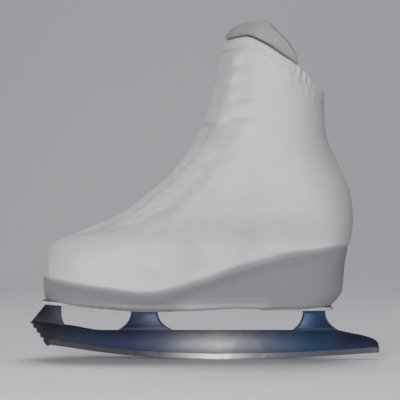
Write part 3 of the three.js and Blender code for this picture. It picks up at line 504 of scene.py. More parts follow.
# ------------------------------------------------------------------ node materials
@dataclass
class Nodes:
    """A new material with its shader, and short ways to add the nodes that feed it."""

    name: str
    material: Material = field(init=False)
    shader: bpy.types.ShaderNode = field(init=False)

    def __post_init__(self) -> None:
        """Make the material with one Principled shader on its output."""
        self.material = bpy.data.materials.new(self.name)
        self.material.use_nodes = True
        self.shader = self.material.node_tree.nodes["Principled BSDF"]

    def add(self, kind: str, **settings: object) -> bpy.types.ShaderNode:
        """Add a node.

        Args:
            kind: The node's type without its first words.
            settings: Its properties.

        Returns:
            The node.
        """
        node = self.material.node_tree.nodes.new("ShaderNode" + kind)
        for key, value in settings.items():
            setattr(node, key, value)
        return node

    def wire(self, source: Socket, target: Socket) -> None:
        """Join two sockets."""
        self.material.node_tree.links.new(source, target)

    def feed(self, socket: Socket, value: object) -> None:
        """Put a value on a socket.

        Args:
            socket: Where it goes.
            value: A number, a colour, or another node's socket, which is joined.
        """
        if isinstance(value, bpy.types.NodeSocket):
            self.wire(value, socket)
        else:
            socket.default_value = value

    def shade(self, **values: object) -> None:
        """Set the shader's sockets, named with underscores for spaces."""
        for key, value in values.items():
            self.feed(self.shader.inputs[key.replace("_", " ")], value)

    def place(self, kind: str = "Object") -> Socket:
        """The object's coordinates, or its UV map as "UV"."""
        return self.add("TexCoord").outputs[kind]

    def stretched(self, vector: Socket, scale: Triple) -> Socket:
        """Coordinates times a scale along each axis.

        Args:
            vector: The coordinates.
            scale: One number for each axis.

        Returns:
            The scaled coordinates.
        """
        mapping = self.add("Mapping")
        self.wire(vector, mapping.inputs["Vector"])
        mapping.inputs["Scale"].default_value = scale
        return mapping.outputs["Vector"]

    def noise(self, vector: Socket, scale: float, detail: float = 3.0) -> Socket:
        """Noise from 0 to 1.

        Args:
            vector: The coordinates, in metres.
            scale: Blobs to a metre.
            detail: Finer layers added.

        Returns:
            The noise.
        """
        node = self.add("TexNoise")
        self.wire(vector, node.inputs["Vector"])
        node.inputs["Scale"].default_value = scale
        node.inputs["Detail"].default_value = detail
        return node.outputs["Fac"]

    def math(self, operation: str, *values: object) -> Socket:
        """One sum or function of numbers.

        Args:
            operation: Its name.
            values: Numbers or sockets.

        Returns:
            The result.
        """
        node = self.add("Math", operation=operation)
        for socket, value in zip(node.inputs, values):
            self.feed(socket, value)
        return node.outputs[0]

    def sine(self, value: Socket, period: float) -> Socket:
        """The sine of a value that comes round after a period."""
        return self.math("SINE", self.math("MULTIPLY", value, 2 * np.pi / period))

    def between(self, value: Socket, low: float, high: float, out: Span = (0, 1)) -> Socket:
        """A value taken from low..high to another span, held at the ends.

        Args:
            value: The value.
            low: What becomes the start of out.
            high: What becomes the end of out.
            out: The other span.

        Returns:
            The value in that span.
        """
        node = self.add("MapRange")
        for key, number in (("From Min", low), ("From Max", high), ("To Min", out[0]), ("To Max", out[1])):
            node.inputs[key].default_value = number
        self.wire(value, node.inputs["Value"])
        return node.outputs["Result"]

    def blend(self, share: object, first: object, second: object) -> Socket:
        """A colour between two colours.

        Args:
            share: How much of the second.
            first: A socket or a colour of three numbers.
            second: Another.

        Returns:
            The blended colour.
        """
        node = self.add("Mix", data_type="RGBA")
        self.feed(node.inputs["Factor"], share)
        for socket, colour in ((node.inputs[6], first), (node.inputs[7], second)):
            self.feed(socket, (*colour, 1.0) if isinstance(colour, tuple) else colour)
        return node.outputs[2]

    def ramp(self, value: Socket, stops: Stops) -> Socket:
        """Colours along a value from 0 to 1.

        Args:
            value: The value.
            stops: Places and their colours.

        Returns:
            The colour at the value.
        """
        node = self.add("ValToRGB")
        bar = node.color_ramp.elements
        while len(bar) < len(stops):
            bar.new(1.0)
        for element, (where, colour) in zip(bar, stops):
            element.position = where
            element.color = (*colour, 1.0)
        self.wire(value, node.inputs["Fac"])
        return node.outputs["Color"]

    def split(self, vector: Socket) -> list[Socket]:
        """The x, y and z of a vector.

        Args:
            vector: The vector.

        Returns:
            Its three numbers.
        """
        node = self.add("SeparateXYZ")
        self.wire(vector, node.inputs[0])
        return list(node.outputs)

    def attribute(self, name: str) -> Socket:
        """A number carried by the mesh."""
        return self.add("Attribute", attribute_name=name).outputs["Fac"]

    def relief(self, height: Socket, depth: float, below: Socket | None = None) -> Socket:
        """A bumped normal.

        Args:
            height: The relief, from 0 to 1.
            depth: What a height of 1 stands for, in metres.
            below: Another relief that it lies on.

        Returns:
            The normal.
        """
        node = self.add("Bump")
        node.inputs["Distance"].default_value = depth
        node.inputs["Strength"].default_value = 1.0
        self.wire(height, node.inputs["Height"])
        if below is not None:
            self.wire(below, node.inputs["Normal"])
        return node.outputs["Normal"]


def toned(colour: Colour, share: float) -> Colour:
    """The colour times a share."""
    return tuple(value * share for value in colour)


@dataclass(frozen=True)
class StretchKnit:
    """Matt warp-knit stretch fabric: fine wales along the leg, soft sheen, darker over the sole, partly the
    sole showing through and partly painted shade, with painted shade in its creases and between its loops.
    """

    name: str = "stretch_knit"
    colour: Colour = (0.62, 0.62, 0.62)
    # darker over the sole: partly the sole showing through, partly painted shade on the fabric tucked in
    # under the upper
    over_sole_and_shade: Colour = (0.29, 0.286, 0.305)
    # painted shade in creases, gathers and hollows
    shadowed: Colour = (0.37, 0.37, 0.385)
    # painted shade between the knit's loops
    loop_gap_shade: Colour = (0.42, 0.42, 0.44)
    loop_shade: float = 0.16
    mottle: float = 0.965
    wale: float = 0.00085
    course: float = 0.0011
    wander: float = 0.0002
    loop_depth: float = 0.00011
    fuzz_depth: float = 0.00006

    def material(self) -> Material:
        """Loops of the knit on the UV map; from the mesh's attributes, its darkening over the sole (the sole
        showing through and painted shade) and its painted shade in creases and hollows.

        Returns:
            The material.
        """
        n = Nodes(self.name)
        u, v, _ = n.split(n.place("UV"))
        obj = n.place()
        wander = n.between(n.noise(obj, 90.0), 0, 1, (-self.wander, self.wander))
        columns = n.sine(n.math("ADD", u, wander), self.wale)
        slant = n.math("MULTIPLY", n.math("ABSOLUTE", columns), self.course * 0.5)
        loops = n.sine(n.math("ADD", v, slant), self.course)
        crossed = n.math("ADD", n.math("MULTIPLY", columns, 0.7), n.math("MULTIPLY", loops, 0.45))
        weave = n.between(crossed, -1.1, 1.1)
        fuzz = n.noise(n.stretched(obj, (1, 1, 0.6)), 1500.0, 2.0)
        soft = n.noise(obj, 26.0, 4.0)
        cloth = n.blend(n.between(soft, 0.3, 0.7), self.colour, toned(self.colour, self.mottle))
        # darker below the feather line: the sole showing through, and painted shade
        cloth = n.blend(n.attribute("backing"), cloth, self.over_sole_and_shade)
        # painted shade in creases, gathers and hollows
        cloth = n.blend(n.attribute("crease"), cloth, self.shadowed)
        # painted shade between the loops
        cloth = n.blend(n.between(weave, 0, 1, (self.loop_shade, 0.0)), cloth, self.loop_gap_shade)
        knitted = n.relief(weave, self.loop_depth)
        n.shade(Base_Color=cloth, Normal=n.relief(fuzz, self.fuzz_depth, knitted))
        n.shade(Roughness=n.between(soft, 0.2, 0.8, (0.74, 0.86)))
        n.shade(Sheen_Weight=0.22, Sheen_Roughness=0.45, Specular_IOR_Level=0.28)
        return n.material


@dataclass(frozen=True)
class Grain:
    """A matt or half-gloss surface with blotchy colour and a fine grain in its relief."""

    name: str
    colour: Colour
    other: Colour
    roughness: Span = (0.5, 0.65)
    grain: float = 900.0
    depth: float = 0.00008
    blotch: float = 35.0
    sheen: float = 0.0
    coat: float = 0.0
    stretch: Triple = (1.0, 1.0, 1.0)

    def material(self) -> Material:
        """Blotches in the colour, cells and noise in the relief.

        Returns:
            The material.
        """
        n = Nodes(self.name)
        obj = n.place()
        blotch = n.noise(obj, self.blotch, 4.0)
        fine = n.noise(n.stretched(obj, self.stretch), self.grain, 4.0)
        cells = n.add("TexVoronoi", feature="DISTANCE_TO_EDGE")
        n.wire(n.stretched(obj, self.stretch), cells.inputs["Vector"])
        cells.inputs["Scale"].default_value = self.grain * 0.8
        pebble = n.between(cells.outputs["Distance"], 0, 0.25)
        n.shade(Base_Color=n.blend(n.between(blotch, 0.3, 0.7), self.colour, self.other))
        n.shade(Roughness=n.between(fine, 0.2, 0.8, self.roughness))
        n.shade(Normal=n.relief(pebble, self.depth, n.relief(fine, self.depth)))
        n.shade(Sheen_Weight=self.sheen, Coat_Weight=self.coat, Coat_Roughness=0.35)
        return n.material


@dataclass(frozen=True)
class Chrome:
    """Blade steel: its colour along the blade is a painted reflection, dark and blue towards the ends and
    bright in the middle, and a ground band along the running edge carries a painted glint.
    """

    name: str = "blade_chrome"
    half_length: float = 0.1455
    # painted reflection: dark and blue towards the ends, bright in the middle
    painted_reflection: Stops = (
        (0.04, (0.05, 0.048, 0.066)),
        (0.09, (0.062, 0.085, 0.105)),
        (0.19, (0.062, 0.086, 0.16)),
        (0.29, (0.064, 0.08, 0.17)),
        (0.38, (0.125, 0.148, 0.205)),
        (0.46, (0.28, 0.29, 0.31)),
        (0.54, (0.4, 0.4, 0.4)),
        (0.64, (0.22, 0.24, 0.29)),
        (0.72, (0.117, 0.152, 0.24)),
        (0.81, (0.055, 0.118, 0.222)),
        (0.91, (0.055, 0.08, 0.148)),
    )
    # the ground band's colour, a painted glint brightest in the middle of the blade
    satin: Stops = (
        (0.1, (0.075, 0.075, 0.085)),
        (0.3, (0.08, 0.09, 0.115)),
        (0.38, (0.2, 0.21, 0.23)),
        (0.46, (0.7, 0.71, 0.72)),
        (0.51, (0.97, 0.97, 0.97)),
        (0.56, (0.95, 0.95, 0.95)),
        (0.64, (0.4, 0.41, 0.43)),
        (0.74, (0.19, 0.2, 0.24)),
        (0.86, (0.12, 0.13, 0.165)),
        (1.0, (0.15, 0.16, 0.18)),
    )
    # painted highlight on the stanchions' rounded edges
    rim: Colour = (0.62, 0.64, 0.7)
    ground_metal: float = 0.35
    ground_roughness: float = 0.02
    polish_depth: float = 0.000006

    def material(self) -> Material:
        """The painted reflection by place along the blade; by attributes, the ground steel with its painted
        glint and the painted highlights on the stanchions' rounded edges.

        Returns:
            The material.
        """
        n = Nodes(self.name)
        obj = n.place()
        x, _, _ = n.split(obj)
        share = n.between(x, -self.half_length, self.half_length)
        # painted reflection along the blade
        painted_reflection_colour = n.ramp(share, self.painted_reflection)
        lines = n.noise(n.stretched(obj, (30, 400, 1400)), 1.0, 5.0)
        wear = n.noise(obj, 60.0, 5.0)
        ground = n.attribute("ground")
        # the ground band with its painted glint, and at half strength the painted highlight on the top edge
        colour = n.blend(ground, painted_reflection_colour, n.ramp(share, self.satin))
        # painted highlight on the stanchions' rounded edges, from the attribute rim
        colour = n.blend(n.attribute("rim"), colour, self.rim)
        n.shade(Base_Color=colour, Metallic=n.between(ground, 0, 1, (1.0, self.ground_metal)))
        polished = n.between(wear, 0.3, 0.7, (0.2, 0.28))
        n.shade(Roughness=n.math("ADD", polished, n.math("MULTIPLY", ground, self.ground_roughness)))
        n.shade(Normal=n.relief(lines, self.polish_depth))
        return n.material


@dataclass(frozen=True)
class Steel:
    """Brushed or plated steel of one colour, with fine lines and faint wear."""

    name: str
    colour: Colour
    other: Colour
    roughness: Span = (0.22, 0.36)
    line_depth: float = 0.000012

    def material(self) -> Material:
        """Wear in the colour and roughness, turning lines in the relief.

        Returns:
            The material.
        """
        n = Nodes(self.name)
        obj = n.place()
        wear = n.noise(obj, 240.0, 5.0)
        lines = n.noise(n.stretched(obj, (1800, 500, 1800)), 1.0, 4.0)
        n.shade(Base_Color=n.blend(n.between(wear, 0.35, 0.65), self.colour, self.other), Metallic=1.0)
        n.shade(Roughness=n.between(wear, 0.3, 0.7, self.roughness))
        n.shade(Normal=n.relief(lines, self.line_depth))
        return n.material


@dataclass(frozen=True)
class Braid:
    """Waxed cotton braid: two sets of strands crossing."""

    name: str = "cotton_braid"
    colour: Colour = (0.85, 0.84, 0.81)
    shaded: float = 0.8
    pitch: float = 0.0009
    depth: float = 0.0002

    def material(self) -> Material:
        """Strands along two slants of the object's coordinates.

        Returns:
            The material.
        """
        n = Nodes(self.name)
        x, y, z = n.split(n.place())
        one = n.sine(n.math("ADD", n.math("ADD", x, y), z), self.pitch)
        two = n.sine(n.math("SUBTRACT", n.math("SUBTRACT", x, y), z), self.pitch)
        strands = n.between(n.math("MULTIPLY", one, two), -1, 1)
        n.shade(Base_Color=n.blend(strands, toned(self.colour, self.shaded), self.colour))
        n.shade(Roughness=0.8, Sheen_Weight=0.2, Normal=n.relief(strands, self.depth))
        return n.material


@dataclass(frozen=True)
class Microfibre:
    """Brushed lining cloth: short nap with a soft sheen."""

    name: str = "lining_microfibre"
    colour: Colour = (0.66, 0.63, 0.57)
    shaded: float = 0.88
    nap: float = 1300.0
    depth: float = 0.0002

    def material(self) -> Material:
        """Nap in the relief, slow waves in the colour.

        Returns:
            The material.
        """
        n = Nodes(self.name)
        obj = n.place()
        nap = n.noise(n.stretched(obj, (1, 1, 0.45)), self.nap, 4.0)
        soft = n.noise(obj, 22.0, 3.0)
        n.shade(Base_Color=n.blend(n.between(soft, 0.3, 0.7), self.colour, toned(self.colour, self.shaded)))
        n.shade(Roughness=0.9, Sheen_Weight=0.4, Sheen_Roughness=0.5, Normal=n.relief(nap, self.depth))
        return n.material


SATIN_STEEL = Steel("satin_steel", (0.55, 0.55, 0.58), (0.46, 0.46, 0.5))
BRIGHT_NICKEL = Steel("bright_nickel", (0.7, 0.69, 0.68), (0.62, 0.61, 0.6), (0.12, 0.22))
WHITE_LEATHER = Grain(
    "white_leather", (0.42, 0.418, 0.415), (0.37, 0.368, 0.366), (0.42, 0.56), 1300.0, 0.00005, coat=0.08
)
SOLE_LEATHER = Grain(
    "stacked_sole_leather", (0.13, 0.075, 0.045), (0.17, 0.1, 0.06), (0.38, 0.5), 700.0, 0.00006,
    coat=0.2, stretch=(1, 1, 6),
)
HEEL_RUBBER = Grain("heel_rubber", (0.05, 0.048, 0.047), (0.035, 0.034, 0.034), (0.7, 0.85), 1100.0, 0.0001)
FIBRE_BOARD = Grain("fibre_board", (0.42, 0.3, 0.18), (0.36, 0.25, 0.15), (0.75, 0.9), 1400.0, 0.00005)
FOOTBED_CLOTH = Grain(
    "footbed_cloth", (0.62, 0.57, 0.48), (0.56, 0.51, 0.43), (0.85, 0.95), 1600.0, 0.0001, sheen=0.3
)


# ------------------------------------------------------------------ the fabric cover
def node_centre(name: str) -> Array:
    """Middle of a CAD node's box, in millimetres."""
    low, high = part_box(name)
    return (np.array(low) + np.array(high)) / 2 / MM


@dataclass(frozen=True)
class PlateOutline:
    """A blade plate's outline in plan: its two ends, and its half widths by share of its length."""

    start: float
    end: float
    halves: Curve
    rounding: int = 6

    def rim(self, grow: float, count: int) -> Array:
        """Points round the outline, evenly spaced, its corners rounded off.

        Args:
            grow: How far the outline is grown outwards.
            count: How many points.

        Returns:
            Their x and y.
        """
        share = (1 - np.cos(np.linspace(0, np.pi, 400))) / 2
        middle = (self.start + self.end) / 2
        stretch = (self.end - self.start + 2 * grow) / (self.end - self.start)
        x = middle + (self.start + (self.end - self.start) * share - middle) * stretch
        y = self.halves(share) + grow
        loop = np.concatenate([np.stack([x, -y], 1), np.stack([x[::-1], y[::-1]], 1)])
        closed = np.concatenate([loop, loop[:1]])
        run = travelled(closed)
        at = np.linspace(0, run[-1], count, endpoint=False)
        even = np.stack([np.interp(at, run, closed[:, k]) for k in (0, 1)], 1)
        for _ in range(self.rounding):
            even = (np.roll(even, 1, 0) + 2 * even + np.roll(even, -1, 0)) / 4
        return even

    def inside(self, places: Array, grow: float) -> NDArray[np.bool_]:
        """Whether places in plan lie inside the grown outline.

        Args:
            places: Their x and y, last.
            grow: How far the outline is grown outwards.

        Returns:
            True for each place inside.
        """
        length = self.end - self.start
        middle = (self.start + self.end) / 2
        share = (places[..., 0] - middle) / (length + 2 * grow) + 0.5
        return (share > 0) & (share < 1) & (np.abs(places[..., 1]) < self.halves(share) + grow)


SOLE_PLATE = PlateOutline(
    -132.15, -26.55,
    Curve(((0, 11), (0.02, 15), (0.1, 19), (0.6, 27), (0.85, 25), (0.96, 21), (1, 14))),
)
HEEL_PLATE = PlateOutline(
    48.45, 103.45,
    Curve(((0, 12), (0.05, 18), (0.3, 21.5), (0.6, 21.5), (0.92, 16), (1, 9))),
)


@dataclass(frozen=True)
class Lacing:
    """What the fabric rests on at the front: leather, hooks, eyelets and laces."""

    form: BootForm
    fabric: float = 1.0
    hook_depth: float = 0.4
    hook_radius: float = 2.6
    hook_slope: float = 1.5
    lace_depth: float = -1.6
    lace_radius: float = 0.6
    lace_slope: float = 1.5
    proud: float = 0.4
    ridge_depth: float = 0.25
    ridge_half: float = 7.0
    ridge_height: Span = (52.0, 66.0)
    hardware_spread: float = 1.28
    bump: float = 0.75
    bump_width: float = 2.4
    dimple: float = 0.6
    dimple_width: float = 1.7
    ease: float = 0.05
    ray_lead: float = 2.0
    deepest: float = 9.0
    laced_to: float = 205.0
    laced_fade: float = 25.0
    leather_height: Span = (56.0, 66.0)
    soften: int = 10

    def unrolled(self, height: Array, points: Array) -> tuple[Array, Array]:
        """Places on the form as if it lay flat.

        Args:
            height: Heights of the points.
            points: The points.

        Returns:
            Distance run along the form's front outline, and distance across from the middle.
        """
        fine = np.linspace(0, FORM_TOP, 1200)
        run = travelled(np.stack([fine, self.form.front(fine)], -1))
        return np.interp(height, fine, run), points[..., 1] - self.form.y_shift

    def hardware(self) -> list[tuple[bool, list[Span]]]:
        """The rows of eyelets and hooks from the toe up.

        Returns:
            For each row, whether its pair are hooks, and each one's place, unrolled: across and along.
        """
        named = sorted(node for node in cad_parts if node.startswith(("eyelet_outer", "hook_outer")))
        rows = []
        for node in named:
            pair = []
            for side in ("outer", "inner"):
                centre = node_centre(node.replace("outer", side))
                run, _ = self.unrolled(centre[2] - self.form.sole_z, centre)
                pair.append((centre[1] * self.hardware_spread, float(run)))
            rows.append((node.startswith("hook"), pair))
        return rows

    def laced(self, points: Array) -> Array:
        """1 over the lacing at the front, falling to 0 towards the back half of the boot."""
        return smoothstep(0, self.laced_fade, self.laced_to - (points[..., 0] - self.form.toe_x))

    def studs(self, height: Array, points: Array) -> Array:
        """Small bumps of the fabric over the hooks and dimples into the eyelets: bells round their places.

        Args:
            height: Heights of the fabric's points.
            points: The points.

        Returns:
            The relief, outwards.
        """
        along, y = self.unrolled(height, points)
        relief = np.zeros_like(height)
        for hooked, pair in self.hardware():
            for across, run in pair:
                away = np.hypot(y - across, along - run)
                bump, dimple = bell(away, 0, self.bump_width), bell(away, 0, self.dimple_width)
                relief += self.bump * bump if hooked else -self.dimple * dimple
        return relief * self.laced(points)

    def leather(self, points: Array, normals: Array) -> Array:
        """The lowest the fabric may lie over the leather, found with rays cast inwards on to it.

        Args:
            points: The fabric's points.
            normals: The form's normals there.

        Returns:
            The floor under each point, 0 or less, softened over the leather's facets.
        """
        corners, faces = [], []
        for name in ("vamp", "quarter_outer", "quarter_inner", "backstay", "tongue"):
            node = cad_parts[name]
            first = len(corners)
            corners += [node.matrix_world @ v.co for v in node.data.vertices]
            faces += [[first + k for k in face.vertices] for face in node.data.polygons]
        upper = BVHTree.FromPolygons(corners, faces)
        starts = (points + normals * self.ray_lead) * MM
        reach = (self.ray_lead + self.deepest) * MM
        floor = np.zeros(points.shape[:2])
        for row, column in np.argwhere(points[..., 0] - self.form.toe_x < self.laced_to):
            hit = upper.ray_cast(Vector(starts[row, column]), Vector(-normals[row, column]), reach)
            depth = self.deepest if hit[3] is None else hit[3] / MM - self.ray_lead
            floor[row, column] = -max(depth - self.fabric - self.ease, 0.0)
        above = smoothstep(*self.leather_height, points[..., 2] - self.form.sole_z)
        return smoothed(floor * above * self.laced(points), self.soften)

    def floor(self, height: Array, points: Array, normals: Array) -> Array:
        """The lowest the fabric may lie, as depth under the form.

        Distances are taken across the boot and along its front outline. A hook is a cap, a lace a
        ridge between two rows, and elsewhere the fabric rests on the leather.

        Args:
            height: Heights of the fabric's points.
            points: The points.
            normals: The form's normals there.

        Returns:
            The floor under each point, 0 or less but for the hooks' caps.
        """
        along, y = self.unrolled(height, points)
        ridge = -self.ridge_depth - (y / self.ridge_half) ** 2
        floor = ridge - self.deepest * (1 - smoothstep(*self.ridge_height, height))
        rows = self.hardware()
        for hooked, pair in rows:
            for across, run in pair:
                away = np.maximum(np.hypot(y - across, along - run) - self.hook_radius, 0)
                cap = self.hook_depth if hooked else self.lace_depth
                floor = np.maximum(floor, cap - (away / self.hook_slope) ** 2)
        for (_, low), (_, high) in zip(rows, rows[1:]):
            for start, end in ((low[0], high[1]), (low[1], high[0])):
                span = np.array(end) - np.array(start)
                right, up = y - start[0], along - start[1]
                share = np.clip((right * span[0] + up * span[1]) / (span @ span), 0, 1)
                away = np.hypot(right - share * span[0], up - share * span[1])
                away = np.maximum(away - self.lace_radius, 0)
                floor = np.maximum(floor, self.lace_depth - away**2 / self.lace_slope)
        floor = floor - 2 * self.deepest * (1 - self.laced(points))
        return np.minimum(np.maximum(self.leather(points, normals), floor), self.proud)


@dataclass(frozen=True)
class Fold:
    """A long fold of the fabric: how far it stands out, where it runs and how wide it is."""

    rise: float
    at: float
    width: float

    def relief(self, value: Array, moved: Array | float = 0.0) -> Array:
        """The rise times a bell round the fold's place, which may be moved."""
        return self.rise * bell(value, self.at + moved, self.width)


@dataclass(frozen=True)
class Crease:
    """A short slanting crease: its depth, its height and slope at its middle, its width, place and reach."""

    depth: float
    height: float
    slope: float
    width: float
    inside: float
    reach: float

    def relief(self, height: Array, inside: Array) -> Array:
        """The depth, inwards, times a bell across the crease's line and a bell along it."""
        line = self.height + self.slope * (inside - self.inside)
        return -self.depth * bell(height, line, self.width) * bell(inside, self.inside, self.reach)


@dataclass(frozen=True)
class Drape:
    """Seams, folds and gathers of the fabric, and the painted shade that darkens it along them and, with the
    sole showing through, over the sole.

    Distances behind the toe, heights above the underside and distances behind the front outline are
    in millimetres; a span is where something fades in or out.
    """

    form: BootForm
    fore_from: Span = (4.0, 12.0)
    arch_from: Span = (104.0, 122.0)
    arch_to: Span = (176.0, 196.0)
    heel_from: Span = (180.0, 196.0)
    sole_line: tuple[Fold, ...] = (Fold(-0.75, 1.2, 1.3), Fold(0.35, -3.0, 2.5))
    arch_roll: tuple[Fold, ...] = (Fold(1.25, 2.6, 2.2), Fold(-0.5, 7.6, 1.6))
    fore_piping: tuple[Fold, ...] = (Fold(0.75, 1.2, 1.1), Fold(-0.65, 4.0, 1.0), Fold(0.3, 6.6, 1.3))
    heel_piping: tuple[Fold, ...] = (Fold(0.4, 1.4, 1.2), Fold(-0.4, 4.2, 1.1))
    toe_roll: Fold = Fold(0.55, 7.2, 1.5)
    toe_groove: Fold = Fold(-0.4, 4.2, 1.3)
    toe_roll_lean: float = 0.04
    instep_crease: Fold = Fold(-0.45, 6.0, 1.5)
    ankle_creases: tuple[Crease, ...] = (
        Crease(0.8, 152.62, 0.06, 1.7, 2.0, 7.0),
        Crease(0.5, 155.5, -0.05, 1.8, 30.0, 9.0),
        Crease(0.4, 171.0, 0.14, 1.3, 28.0, 6.5),
    )
    gather_from: Span = (188.0, 204.0)
    gather_rise: float = 0.55
    gather_below: float = 7.0
    gather_fade: float = 9.0
    seam_groove: float = 0.5
    seam_half: float = 0.9
    seam_lip: Fold = Fold(0.22, 2.2, 0.8)

    def sole_rolls(self, u: Array, height: Array) -> Array:
        """The fabric rolled over the sole's lower edge: one roll at the arch, piping before and behind it.

        Args:
            u: Distance behind the toe.
            height: Above the underside.

        Returns:
            The relief, outwards.
        """
        fore = (1 - smoothstep(*self.arch_from, u)) * smoothstep(*self.fore_from, u)
        arch = smoothstep(*self.arch_from, u) * (1 - smoothstep(*self.arch_to, u))
        heel = smoothstep(*self.heel_from, u)
        zones = ((arch, self.arch_roll), (fore, self.fore_piping), (heel, self.heel_piping))
        return sum(zone * sum(fold.relief(height) for fold in folds) for zone, folds in zones)

    def front_folds(self, u: Array, height: Array) -> Array:
        """The roll at the toe, the crease along the instep and the short creases at the ankle.

        Args:
            u: Distance behind the toe.
            height: Above the underside.

        Returns:
            The relief, outwards.
        """
        toe = self.toe_roll.relief(u, self.toe_roll_lean * (height - 20)) + self.toe_groove.relief(u)
        toe = toe * smoothstep(6, 12, height) * (1 - smoothstep(36, 44, height))
        inside = u - self.form.front(height)
        squeezed = inside * np.clip(1.25 - np.abs(height - 100) / 160, 0.55, 1)
        instep = smoothstep(46, 60, height) * (1 - smoothstep(148, 160, height))
        ankle = sum(crease.relief(height, inside) for crease in self.ankle_creases)
        return toe + self.instep_crease.relief(squeezed) * instep + ankle

    def back_folds(self, u: Array, along: Array, height: Array, points: Array) -> Array:
        """The gathers under the collar and the soft folds down the back: waves.

        Args:
            u: Distance behind the toe.
            along: Distance round the boot from the front seam.
            height: Above the underside.
            points: The fabric's points.

        Returns:
            The relief, outwards.
        """
        drop = self.form.collar(u) - height
        fading = np.exp(-np.maximum(drop - self.gather_below, 0) / self.gather_fade)
        gathered = smoothstep(*self.gather_from, u) * fading
        gather = gathered * self.gather_rise * waves(np.stack([along, height * 0.22], -1), 7.5, 5)
        slump = 0.35 * smoothstep(224, 240, u) * waves(points * np.array([0.5, 0.5, 1.0]), 17.0, 8)
        return gather + slump * smoothstep(95, 120, height)

    def relief(self, height: Array, points: Array) -> Array:
        """All the folds together, in millimetres outwards.

        Args:
            height: Heights of the fabric's points.
            points: The points.

        Returns:
            The relief at each point.
        """
        u = points[..., 0] - self.form.toe_x
        along, _ = along_grid(points)
        below = self.form.feather(u) - height
        line = sum(fold.relief(below) for fold in self.sole_line) * smoothstep(0, 14, along)
        seam = np.minimum(along, along[:, -1:] - along)
        sewn = self.seam_lip.relief(seam) - self.seam_groove * np.exp(-((seam / self.seam_half) ** 2))
        slack = 0.16 * waves(points, 34.0, 3) + 0.05 * waves(points, 9.0, 4)
        folds = self.sole_rolls(u, height) + self.front_folds(u, height)
        folds = folds + self.back_folds(u, along, height, points)
        return line + folds + (sewn + slack) * smoothstep(0, 6, height)

    def marks(self, spots: Array, cavity: Array) -> dict[str, Array]:
        """How much the fabric darkens below the sole's edge, partly the sole showing through and partly
        painted shade, and how much painted shade lies in its creases and hollows.

        Args:
            spots: The fabric's points, as bent.
            cavity: How far each lies under its surroundings, 0 to 1.

        Returns:
            The marks for the darkening over the sole and for the painted crease shade at each point, 0 to 1.
        """
        u = spots[..., 0] - self.form.toe_x
        height = spots[..., 2] - self.form.sole_z
        line = self.form.feather(u) + 0.6 * waves(spots, 30.0, 12)
        arch = smoothstep(104, 124, u) * (1 - smoothstep(*self.arch_to, u))
        soft = 1.9 + 2.6 * smoothstep(60, 150, u) * (1 - smoothstep(190, 225, u))
        # 1 below the feather line, for the sole showing through and painted shade; less on the arch's roll
        backing = smoothstep(-soft, soft, line + 0.2 - height) * (1 - 0.7 * bell(height, 2.0, 2.6) * arch)
        fore = (1 - smoothstep(*self.arch_from, u)) * smoothstep(*self.fore_from, u)
        # painted shade in the groove of the piping in front of the arch
        crease = 0.5 * bell(height, 4.0, 0.9) * fore
        # painted shade along the groove under the feather line towards the heel
        crease = crease + 0.35 * bell(line - height, 0.6, 1.1) * smoothstep(176, 220, u)
        # painted shade in hollows, from cavity
        return {"backing": backing, "crease": np.clip(crease + 0.38 * cavity, 0, 1)}


